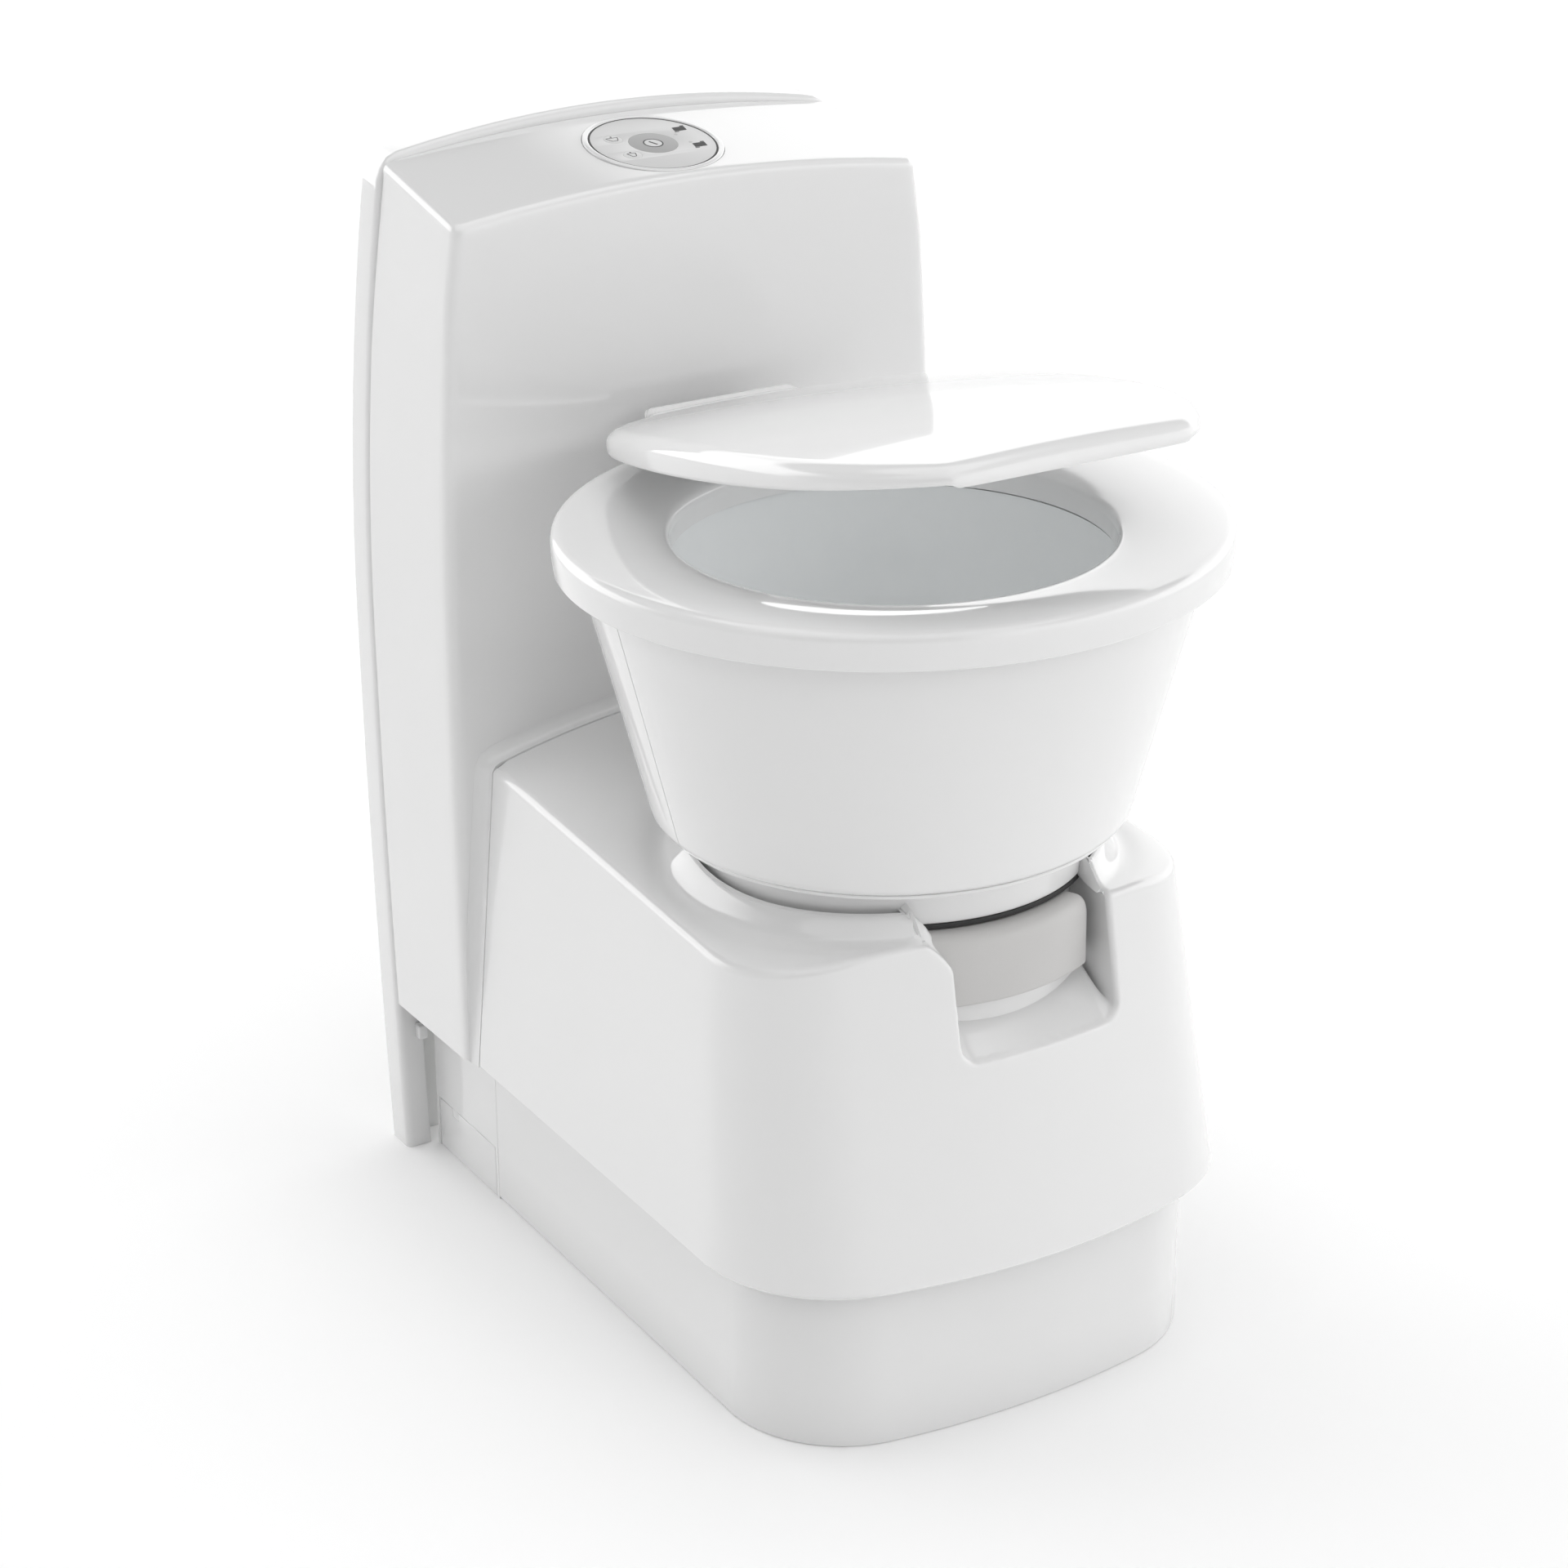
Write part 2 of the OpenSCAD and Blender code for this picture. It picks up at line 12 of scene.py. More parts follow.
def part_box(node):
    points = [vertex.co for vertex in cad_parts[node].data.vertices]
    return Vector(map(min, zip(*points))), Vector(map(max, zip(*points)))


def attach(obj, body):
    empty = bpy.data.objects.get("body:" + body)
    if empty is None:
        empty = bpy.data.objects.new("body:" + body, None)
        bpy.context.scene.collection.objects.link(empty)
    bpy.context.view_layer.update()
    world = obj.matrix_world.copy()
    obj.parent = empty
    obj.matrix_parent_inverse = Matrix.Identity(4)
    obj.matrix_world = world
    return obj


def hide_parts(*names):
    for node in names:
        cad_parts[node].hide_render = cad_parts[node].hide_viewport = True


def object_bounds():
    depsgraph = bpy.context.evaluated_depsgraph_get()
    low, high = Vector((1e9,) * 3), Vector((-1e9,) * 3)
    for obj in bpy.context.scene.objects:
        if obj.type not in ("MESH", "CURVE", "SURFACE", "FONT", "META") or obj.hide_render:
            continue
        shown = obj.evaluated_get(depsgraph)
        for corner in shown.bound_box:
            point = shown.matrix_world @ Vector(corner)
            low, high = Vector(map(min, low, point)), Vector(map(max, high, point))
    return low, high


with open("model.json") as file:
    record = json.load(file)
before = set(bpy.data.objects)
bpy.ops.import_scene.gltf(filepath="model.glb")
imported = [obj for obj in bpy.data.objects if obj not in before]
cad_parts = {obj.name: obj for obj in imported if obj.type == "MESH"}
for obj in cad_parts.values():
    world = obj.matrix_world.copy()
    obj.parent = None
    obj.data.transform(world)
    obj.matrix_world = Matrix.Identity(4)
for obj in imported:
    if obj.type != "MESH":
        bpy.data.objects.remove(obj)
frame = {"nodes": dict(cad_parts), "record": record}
cad_low, cad_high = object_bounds()

# Shapes are worked out in millimetres with the wall face at y = 0, x = 0 in the middle and z = 0 on the floor.
MM = 0.001
WALL_Y = cad_high.y
TURN = 2 * math.pi


def extent(node):
    """Lowest and highest corner of a CAD node, in millimetres from the wall face."""
    low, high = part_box(node)
    shift = Vector((0, WALL_Y, 0))
    return np.array(low - shift) / MM, np.array(high - shift) / MM


def placed(name, data):
    """An object for a mesh, curve, lamp or camera, put into the scene."""
    made = bpy.data.objects.new(name, data)
    bpy.context.scene.collection.objects.link(made)
    return made


# ------------------------------------------------------------------ camera

VIEW_AZIMUTH = math.radians(-31.10)
VIEW_ELEVATION = math.radians(23.22)
VIEW_ROLL = math.radians(-0.28)
VIEW_DISTANCE = 2.2719
VIEW_TARGET = Vector((-0.0181, 0.0153, 0.3276))
VIEW_LENS = 82.34


def make_camera():
    """A camera on a sphere round the target, turned to look at it."""
    data = bpy.data.cameras.new("view_camera")
    data.lens = VIEW_LENS
    data.sensor_width = 36.0
    camera = placed("view_camera", data)
    level = math.cos(VIEW_ELEVATION)
    back = Vector((math.sin(VIEW_AZIMUTH) * level, -math.cos(VIEW_AZIMUTH) * level, math.sin(VIEW_ELEVATION)))
    camera.rotation_mode = "QUATERNION"
    camera.location = VIEW_TARGET + back * VIEW_DISTANCE
    turn = (-back).to_track_quat("-Z", "Y")
    camera.rotation_quaternion = turn @ Matrix.Rotation(VIEW_ROLL, 4, "Z").to_quaternion()
    bpy.context.scene.camera = camera


make_camera()


# ------------------------------------------------------------------ materials

class Wire:
    """A value in a material: operators on it add the Math nodes that work them out."""

    def __init__(self, paint, socket):
        self.paint = paint
        self.socket = socket

    def _sum(self, operation, *values):
        return self.paint.add("ShaderNodeMath", {"operation": operation}, dict(enumerate(values)))

    def __add__(self, other):
        return self._sum("ADD", self, other)

    def __radd__(self, other):
        return self._sum("ADD", other, self)

    def __sub__(self, other):
        return self._sum("SUBTRACT", self, other)

    def __rsub__(self, other):
        return self._sum("SUBTRACT", other, self)

    def __mul__(self, other):
        return self._sum("MULTIPLY", self, other)

    def __rmul__(self, other):
        return self._sum("MULTIPLY", other, self)

    def __truediv__(self, other):
        return self._sum("DIVIDE", self, other)


class Paint:
    """One material and its nodes."""

    def __init__(self, name):
        self.material = bpy.data.materials.new(name)
        self.material.use_nodes = True
        self.tree = self.material.node_tree
        self.tree.nodes.clear()

    def add(self, kind, settings=None, inputs=None, out=0):
        """Adds a node of a kind, sets its settings, then its sockets' values or wires; returns one output."""
        node = self.tree.nodes.new(kind)
        for key, value in (settings or {}).items():
            if key == "stops":
                while len(node.color_ramp.elements) < len(value):
                    node.color_ramp.elements.new(1.0)
                for stop, (place, tint) in zip(node.color_ramp.elements, value):
                    stop.position = place
                    stop.color = tint
            else:
                setattr(node, key, value)
        for key, value in (inputs or {}).items():
            if isinstance(value, Wire):
                self.tree.links.new(value.socket, node.inputs[key])
            else:
                node.inputs[key].default_value = value
        return Wire(self, node.outputs[out]) if len(node.outputs) else None

    def noise(self, size_mm, detail=2.0, stretch=(1, 1, 1)):
        """Noise from 0 to 1 over the piece, with features of about the given size."""
        where = self.add("ShaderNodeTexCoord", out="Object")
        if stretch != (1, 1, 1):
            where = self.add("ShaderNodeMapping", inputs={"Vector": where, "Scale": stretch})
        sockets = {"Vector": where, "Scale": 1 / (size_mm * MM), "Detail": detail}
        return self.add("ShaderNodeTexNoise", inputs=sockets)

    def mix(self, factor, low, high):
        """A colour between two, by a wire from 0 to 1."""
        return self.add("ShaderNodeMix", {"data_type": "RGBA"}, {0: factor, 6: low, 7: high}, 2)

    def bump(self, height, distance_mm, strength=1.0):
        """A normal from a height wire."""
        sockets = {"Height": height, "Distance": distance_mm * MM, "Strength": strength}
        return self.add("ShaderNodeBump", inputs=sockets)

    def shade(self, **sockets):
        """The finished surface: sockets of the Principled shader, with spaces written as underscores."""
        named = {key.replace("_", " "): value for key, value in sockets.items()}
        shader = self.add("ShaderNodeBsdfPrincipled", inputs=named)
        self.add("ShaderNodeOutputMaterial", inputs={"Surface": shader})
        return self.material


def grey(level, warm=0.0):
    """A near-neutral colour, slightly warm above 0 or cool below it."""
    return (level * (1 + warm), level, level * (1 - warm), 1.0)


def moulded_gloss(name, level, rough, warm=0.0, coat=0.0):
    """Glossy moulded plastic: faint cloudiness in tone and gloss, and a barely visible waviness of the tool."""
    paint = Paint(name)
    cloud = paint.noise(90, 2.0)
    fine = paint.noise(1.3, 3.0)
    tone = paint.mix(cloud, grey(level * 0.985, warm), grey(level * 1.01, warm))
    waves = paint.noise(26, 1.0)
    normal = paint.bump(waves + fine * 0.004, 0.05, 0.35)
    return paint.shade(Base_Color=tone, Roughness=rough + fine * 0.03 + cloud * 0.02, Normal=normal,
                       Coat_Weight=coat, Coat_Roughness=0.03)


def grained(name, level, rough, grain_mm, depth_mm, warm=0.0, spread=0.06):
    """Satin or matt plastic with a fine spark-eroded grain."""
    paint = Paint(name)
    grain = paint.noise(grain_mm, 3.0)
    cloud = paint.noise(45, 2.0)
    dark, light = grey(level * (1 - spread), warm), grey(level * (1 + spread), warm)
    tone = paint.mix(grain * 0.6 + cloud * 0.4, dark, light)
    return paint.shade(Base_Color=tone, Roughness=rough + grain * 0.12, Normal=paint.bump(grain, depth_mm, 0.6))


def glazed(name):
    """Glazed inlay: a deep clear coat over a cool grey body with faint mottling."""
    paint = Paint(name)
    mottle = paint.noise(14, 4.0)
    tone = paint.mix(mottle, (0.82, 0.84, 0.845, 1), (0.85, 0.865, 0.868, 1))
    ripple = paint.noise(30, 1.0)
    return paint.shade(Base_Color=tone, Roughness=0.10 + mottle * 0.05, Normal=paint.bump(ripple, 0.12, 0.4),
                       Coat_Weight=0.6, Coat_Roughness=0.03)


def blow_moulded(name):
    """Natural tank plastic: milky, faintly streaked and orange-peeled."""
    paint = Paint(name)
    streak = paint.noise(30, 3.0, stretch=(1, 1, 0.25))
    peel = paint.noise(1.8, 2.0)
    tone = paint.mix(streak, (0.66, 0.67, 0.65, 1), (0.74, 0.75, 0.735, 1))
    return paint.shade(Base_Color=tone, Roughness=0.36 + peel * 0.16, Normal=paint.bump(peel, 0.06, 0.5),
                       Subsurface_Weight=0.08, Subsurface_Radius=(0.004, 0.004, 0.004))


def drawn_steel(name):
    """Bright drawn rod, with fine lines along X."""
    paint = Paint(name)
    lines = paint.noise(0.35, 3.0, stretch=(0.03, 1, 1))
    tone = paint.mix(lines, grey(0.50), grey(0.68))
    return paint.shade(Base_Color=tone, Metallic=1.0, Roughness=0.22 + lines * 0.18,
                       Normal=paint.bump(lines, 0.02, 0.4))


def solder_masked(name):
    """A green circuit board with paler copper tracks in a square weave under the mask."""
    paint = Paint(name)
    where = paint.add("ShaderNodeTexCoord", out="Object")
    tracks = paint.add("ShaderNodeTexBrick", {"offset": 0.5},
                       {"Vector": where, "Scale": 160.0, "Mortar Size": 0.03, "Color1": grey(0),
                        "Color2": grey(0), "Mortar": grey(1)})
    tone = paint.mix(tracks, (0.02, 0.13, 0.05, 1), (0.06, 0.26, 0.11, 1))
    return paint.shade(Base_Color=tone, Roughness=0.30 + paint.noise(4) * 0.1)


def studio_floor(name):
    """A pale matt studio floor."""
    paint = Paint(name)
    tone = paint.mix(paint.noise(400, 2.0), grey(0.93), grey(0.94))
    return paint.shade(Base_Color=tone, Roughness=0.9, Specular_IOR_Level=0.1, Emission_Color=grey(1.0),
                       Emission_Strength=0.03)


WHITE = moulded_gloss("white_gloss_plastic", 0.77, 0.04, coat=0.35)
SEAT_WHITE = moulded_gloss("seat_gloss_plastic", 0.78, 0.05, coat=0.35)
HANDLE_GREY = grained("handle_satin_grey", 0.53, 0.36, 0.55, 0.02, warm=0.012)
CERAMIC = glazed("bowl_glaze")
RUBBER = grained("seal_rubber_black", 0.035, 0.62, 0.8, 0.03)
TANK = blow_moulded("tank_natural_plastic")
MEMBRANE = grained("panel_membrane", 0.62, 0.30, 0.35, 0.006, spread=0.015)
KEY_GREY = grained("panel_key_grey", 0.36, 0.34, 0.35, 0.006, spread=0.015)
INK = grained("panel_ink", 0.03, 0.40, 0.3, 0.003)
PALE_INK = grained("panel_pale_ink", 0.50, 0.40, 0.3, 0.003)
STEEL = drawn_steel("drawn_steel_pin")
BOARD = solder_masked("circuit_board_green")
HOSE = grained("hose_grey", 0.42, 0.40, 2.0, 0.08)
BLACK = grained("black_textured_plastic", 0.022, 0.42, 0.7, 0.04)
MID_GREY = grained("mid_grey_plastic", 0.30, 0.36, 0.7, 0.03)

FINISH = {
    "white_gloss": WHITE, "grey_satin": HANDLE_GREY, "ceramic": CERAMIC, "seal_rubber": RUBBER,
    "tank_plastic": TANK, "membrane": MEMBRANE, "steel": STEEL, "board": BOARD, "hose": HOSE,
    "dark_plastic": BLACK, "grey_plastic": MID_GREY,
}
SLOT_OF = {part["node"]: part["material_slot"] for part in frame["record"]["subparts"]}

for node_name, node_object in frame["nodes"].items():
    node_object.data.materials.clear()
    node_object.data.materials.append(FINISH[SLOT_OF[node_name]])


# ------------------------------------------------------------------ mesh tools

def rounded(corners, radii, steps=6):
    """A polyline with its inner corners replaced by quadratic arcs, each starting a radius from its corner."""
    corners = np.asarray(corners, float)
    out = [corners[0]]
    t = np.linspace(0, 1, steps + 1)[:, None]
    for before, corner, after, radius in zip(corners[:-2], corners[1:-1], corners[2:], radii):
        if radius <= 0:
            out.append(corner)
            continue
        a = corner + (before - corner) * min(radius / np.linalg.norm(before - corner), 0.49)
        b = corner + (after - corner) * min(radius / np.linalg.norm(after - corner), 0.49)
        out.extend((1 - t) ** 2 * a + 2 * t * (1 - t) * corner + t ** 2 * b)
    out.append(corners[-1])
    return np.array(out)


def softened(points, rounds=3):
    """A closed outline smoothed by cutting every corner at a quarter of each side."""
    points = np.asarray(points, float)
    for _ in range(rounds):
        after = np.roll(points, -1, 0)
        points = np.stack([points * 0.75 + after * 0.25, points * 0.25 + after * 0.75], 1).reshape(-1, 2)
    return points


def spaced(points, count, closed=False):
    """Points at equal distances along a polyline."""
    if closed:
        points = np.vstack([points, points[:1]])
    along = np.concatenate([[0], np.cumsum(np.linalg.norm(np.diff(points, axis=0), axis=1))])
    at = np.linspace(0, along[-1], count + 1 if closed else count)
    made = np.stack([np.interp(at, along, points[:, k]) for k in range(points.shape[1])], 1)
    return made[:-1] if closed else made


def inward(path, closed=False):
    """Unit normals to the left of a path in a plane, which is inwards where it runs anticlockwise."""
    if closed:
        step = np.roll(path, -1, 0) - np.roll(path, 1, 0)
    else:
        step = np.gradient(path, axis=0)
    step = step / np.linalg.norm(step, axis=1)[:, None]
    return np.stack([-step[:, 1], step[:, 0]], 1)


def ease(value, low, high):
    """Rises smoothly from 0 at low to 1 at high."""
    t = np.clip((value - low) / (high - low), 0, 1)
    return t * t * (3 - 2 * t)


def make_object(name, points, faces):
    """A mesh object at the origin from points in millimetres from the wall face."""
    data = bpy.data.meshes.new(name)
    world = np.asarray(points, float).reshape(-1, 3) * MM + np.array([0, WALL_Y, 0])
    data.from_pydata(world, [], faces)
    return placed(name, data)


def welded(data, distance=1e-6):
    """Merges the points of a mesh that lie on one another, which also closes seams and poles."""
    cage = bmesh.new()
    cage.from_mesh(data)
    bmesh.ops.remove_doubles(cage, verts=cage.verts, dist=distance)
    bmesh.ops.dissolve_degenerate(cage, edges=cage.edges, dist=distance)
    cage.to_mesh(data)
    cage.free()


def grid_faces(rows, columns, around=False, along=False, keep=None):
    """Quads of a grid of points, closed across its columns (around) or its rows (along)."""
    index = np.arange(rows * columns).reshape(rows, columns)
    if around:
        index = np.hstack([index, index[:, :1]])
    if along:
        index = np.vstack([index, index[:1]])
    quads = np.stack([index[:-1, :-1], index[:-1, 1:], index[1:, 1:], index[1:, :-1]], -1)
    return quads[keep] if keep is not None else quads.reshape(-1, 4)


def surface(name, points, around=False, along=False, keep=None, ends=False, flip=None, weld=False):
    """A mesh over a grid of points [row, column, xyz]; ends closes the first and last column with a face.
    Faces are turned to point away from the middle of the mesh unless flip says which way."""
    rows, columns = points.shape[:2]
    quads = grid_faces(rows, columns, around, along, keep)
    flat = points.reshape(-1, 3)
    if flip is None:
        a, b, c, d = (flat[quads[:, k]] for k in range(4))
        normal = np.cross(c - a, d - b)
        middle = (a + b + c + d) / 4
        flip = np.sum(normal * (middle - flat.mean(0))) < 0
    if flip:
        quads = quads[:, ::-1]
    faces = quads.tolist()
    if ends:
        index = np.arange(rows * columns).reshape(rows, columns)
        first, last = index[:, 0].tolist(), index[:, -1].tolist()
        faces += [first, last[::-1]] if flip else [first[::-1], last]
    made = make_object(name, points, faces)
    if weld:
        welded(made.data)
    return made


def thicken(made, thickness_mm, outside=False):
    """Gives a surface a wall, inwards unless outside is set."""
    wall = made.modifiers.new("wall", "SOLIDIFY")
    wall.thickness = thickness_mm * MM
    wall.offset = 1.0 if outside else -1.0
    wall.use_even_offset = False
    return made


def settle(made):
    """Replaces a mesh by the result of its modifiers."""
    bpy.context.view_layer.update()
    solved = made.evaluated_get(bpy.context.evaluated_depsgraph_get())
    data = bpy.data.meshes.new_from_object(solved)
    made.modifiers.clear()
    made.data = data
    return made


def cut(made, *cutters):
    """Takes cutters out of a closed mesh, and throws them away."""
    for cutter in cutters:
        saw = made.modifiers.new("cut", "BOOLEAN")
        saw.operation = "DIFFERENCE"
        saw.solver = "EXACT"
        saw.object = cutter
    settle(made)
    for cutter in cutters:
        bpy.data.objects.remove(cutter)
    return made


def piece(made, body, slot, *nodes, material=None, sharp=35):
    """Finishes a piece: smooth shading up to an angle, material, its body and the nodes it replaces."""
    if made.modifiers:
        settle(made)
    made.data.materials.clear()
    made.data.materials.append(material or FINISH[slot])
    made.data.shade_smooth()
    made.data.set_sharp_from_angle(angle=math.radians(sharp))
    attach(made, body)
    if nodes:
        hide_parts(*nodes)
    return made


def joined(name, *parts):
    """Several meshes made into one."""
    cage = bmesh.new()
    for part in parts:
        if part.modifiers:
            settle(part)
        cage.from_mesh(part.data)
    data = bpy.data.meshes.new(name)
    cage.to_mesh(data)
    cage.free()
    for part in parts:
        bpy.data.objects.remove(part)
    return placed(name, data)


def lathe(name, profile, centre=(0, 0), start=0.0, turn=360.0, steps=96, closed=True, **options):
    """A profile of (radius, z) or (x radius, y radius, z) rows carried round an upright axis; a closed profile
    makes a ring with a wall of its own."""
    profile = np.asarray(profile, float)
    if profile.shape[1] == 2:
        profile = profile[:, [0, 0, 1]]
    whole = abs(turn) >= 360
    angle = np.radians(start + turn * np.arange(steps + (not whole)) / steps)
    points = np.empty((len(profile), len(angle), 3))
    points[..., 0] = centre[0] + profile[:, :1] * np.cos(angle)
    points[..., 1] = centre[1] + profile[:, 1:2] * np.sin(angle)
    points[..., 2] = profile[:, 2:]
    return surface(name, points, around=whole, along=closed, ends=closed and not whole,
                   weld=bool(np.any(profile[:, 0] < 1e-6)), **options)


def rounded_box(name, low, high, radius, steps=4):
    """A cuboid with rounded edges: an eighth of a sphere at each corner, carried apart by the flat sides."""
    low, high = np.asarray(low, float), np.asarray(high, float)
    radius = min(radius, *(0.499 * (high - low)))
    quarter = np.linspace(0, math.pi / 2, steps + 1)
    u = np.concatenate([quarter + k * math.pi / 2 for k in range(4)])
    v = np.concatenate([quarter - math.pi / 2, quarter])
    side_x = np.repeat([1, -1, -1, 1], steps + 1)
    side_y = np.repeat([1, 1, -1, -1], steps + 1)
    side_z = np.repeat([-1, 1], steps + 1)
    reach = (high - low) / 2 - radius
    points = np.empty((len(v), len(u), 3))
    points[..., 0] = radius * np.cos(v)[:, None] * np.cos(u) + side_x * reach[0]
    points[..., 1] = radius * np.cos(v)[:, None] * np.sin(u) + side_y * reach[1]
    points[..., 2] = (radius * np.sin(v) + side_z * reach[2])[:, None]
    points += (low + high) / 2
    rows, columns = points.shape[:2]
    faces = grid_faces(rows, columns, around=True).tolist()
    index = np.arange(rows * columns).reshape(rows, columns)
    faces += [index[0, ::-1].tolist(), index[-1].tolist()]
    made = make_object(name, points, faces)
    welded(made.data, 1e-7)
    return made


def plate(name, outlines, low, high, bevel=0.0, across="y"):
    """A flat plate from closed outlines, the first its edge and the others its holes, between two places along
    the axis that it lies across, with rounded rims."""
    curve = bpy.data.curves.new(name, "CURVE")
    curve.dimensions = "2D"
    curve.fill_mode = "BOTH"
    curve.extrude = (high - low) / 2 - bevel
    curve.bevel_depth = bevel
    curve.bevel_resolution = 2
    curve.offset = -bevel
    for outline in outlines:
        spline = curve.splines.new("POLY")
        spline.points.add(len(outline) - 1)
        flat = np.zeros((len(outline), 4))
        flat[:, :2] = outline
        flat[:, 3] = 1
        spline.points.foreach_set("co", flat.ravel())
        spline.use_cyclic_u = True
    shell = placed(name, curve)
    bpy.context.view_layer.update()
    data = bpy.data.meshes.new_from_object(shell.evaluated_get(bpy.context.evaluated_depsgraph_get()))
    bpy.data.objects.remove(shell)
    middle = (low + high) / 2
    turn = {
        "z": Matrix(((1, 0, 0, 0), (0, 1, 0, 0), (0, 0, 1, middle), (0, 0, 0, 1))),
        "y": Matrix(((1, 0, 0, 0), (0, 0, -1, middle), (0, 1, 0, 0), (0, 0, 0, 1))),
        "x": Matrix(((0, 0, 1, middle), (1, 0, 0, 0), (0, 1, 0, 0), (0, 0, 0, 1))),
    }[across]
    data.transform(turn)
    data.transform(Matrix.Translation((0, WALL_Y, 0)) @ Matrix.Scale(MM, 4))
    made = placed(name, data)
    welded(made.data, 1e-7)
    return made


def ring_angles(count):
    """Angles at equal steps round a full turn."""
    return np.arange(count) * TURN / count


def circle(radius, centre=(0, 0), count=48):
    """A circle as an outline."""
    angle = ring_angles(count)
    return np.stack([centre[0] + radius * np.cos(angle), centre[1] + radius * np.sin(angle)], 1)


def rod(name, start, end, radius, edge=0.6, steps=32, bore=0.0):
    """A round rod or tube between two points, its rims rounded."""
    start, end = np.asarray(start, float), np.asarray(end, float)
    length = np.linalg.norm(end - start)
    axis = (end - start) / length
    side = np.cross(axis, [0, 0, 1] if abs(axis[2]) < 0.9 else [1, 0, 0])
    side /= np.linalg.norm(side)
    other = np.cross(axis, side)
    hole = max(bore, 1e-7)
    profile = rounded([(hole, 0), (radius, 0), (radius, length), (hole, length)], [edge, edge], 3)
    angle = ring_angles(steps)
    ring = side[None] * np.cos(angle)[:, None] + other[None] * np.sin(angle)[:, None]
    points = start + profile[:, 0, None, None] * ring[None] + profile[:, 1, None, None] * axis
    return surface(name, points, around=True, along=bore > 0, weld=bore <= 0)


def mirrored(made, name):
    """The same piece on the other side."""
    data = made.data.copy()
    data.transform(Matrix.Scale(-1, 4, (1, 0, 0)))
    data.flip_normals()
    return placed(name, data)


# ------------------------------------------------------------------ back frame and tower

frame_low, frame_high = extent("back_frame")
tower_low, tower_high = extent("tower_cover")
saddle_low, saddle_high = extent("saddle_cover")
plinth_low, plinth_high = extent("plinth_front")
FRAME_HALF = frame_high[0]
FRAME_TOP = frame_high[2]
FRAME_T = -frame_low[1]
FRAME_WIDE_Z = 395.0
TOWER_FRONT = tower_low[1]
TOWER_REAR = tower_high[1]
SKIRT_Z = tower_low[2]
TOWER_SLOPE = math.tan(math.radians(10.4))
TOWER_FRONT_TOP = FRAME_TOP - 26.5
TOWER_CROWN_R = 1100.0


def barrel(z):
    """Half width of the back frame: widest at one height, falling away as a square above and below it."""
    up = z - FRAME_WIDE_Z
    return FRAME_HALF - np.where(up > 0, up ** 2 / 4200, up ** 2 / 24000)


def frame_outline(inset, low, corner):
    """Outline of the back frame, open at its feet: up the right side, over the flat arc and down the left."""
    side_z = np.linspace(low, FRAME_TOP - 34 - inset, 60)
    side = np.stack([barrel(side_z) - inset, side_z], 1)
    end_x = barrel(FRAME_TOP - 20) - inset
    top_x = np.linspace(end_x - corner, 0, 40)
    top = np.stack([top_x, FRAME_TOP - inset - top_x ** 2 / 1650], 1)
    knee = np.array([[end_x, FRAME_TOP - inset - end_x ** 2 / 1650]])
    t = np.linspace(0, 1, 12)[1:-1, None]
    bend = (1 - t) ** 2 * side[-1:] + 2 * t * (1 - t) * knee + t ** 2 * top[:1]
    half = np.vstack([side, bend, top])
    return np.vstack([half, (half * [-1, 1])[-2::-1]])


def make_back_frame():
    """The frame's rim, a bar profile with a rounded front edge along the outline; and its back plate."""
    inner = 18.0
    path = spaced(frame_outline(0, 0, 16), 220)
    side = inward(path)
    profile = rounded([(inner, -3), (inner, -FRAME_T), (0, -FRAME_T), (0, 0), (inner, 0)], [1.0, 5.5, 0.8], 7)
    points = np.empty((len(profile), len(path), 3))
    points[..., 0] = path[:, 0] + profile[:, :1] * side[:, 0]
    points[..., 1] = profile[:, 1:]
    points[..., 2] = np.maximum(path[:, 1] + profile[:, :1] * side[:, 1], 0)
    rim = surface("back_frame_rim", points, along=True, ends=True)
    edge = spaced(frame_outline(inner - 4, 0, 10), 160)
    half = rounded([(149, 0), (149, 233), (-149, 233), (-149, 0)], [6, 6], 5)
    outline = np.vstack([edge, half[::-1]])
    holes = [circle(2.75, (x, z), 24) for x in (-110, 110) for z in (300, 640)]
    back = plate("back_frame_plate", [outline] + holes, -2.8, -0.1)
    piece(joined("back_frame_cover", rim, back), "housing", "white_gloss", "back_frame")


make_back_frame()


# Half width of the tower's front, by height.
FRONT_HALF_AT = ((SKIRT_Z, 234, 350, 450, 513, 565, 617, 667, 700),
                 (182.5, 182.7, 183.0, 182.3, 180.4, 177.6, 174.2, 171.6, 170.0))


def tower_half(y, z):
    """Half width of the tower: nearly the frame's at the wall, then a straight line to the front's."""
    rear = barrel(z) - 1.6 - 1.8 * ease(z, 560, 700)
    front = np.interp(z, FRONT_HALF_AT[0], FRONT_HALF_AT[1])
    t = (TOWER_REAR - y) / (TOWER_REAR - TOWER_FRONT)
    return rear + (np.minimum(front, rear) - rear) * t


def tower_top(x, y):
    """Height of the tower's top: sloping to the front and crowned across as a circle."""
    return TOWER_FRONT_TOP + (y - TOWER_FRONT) * TOWER_SLOPE - x ** 2 / (2 * TOWER_CROWN_R)


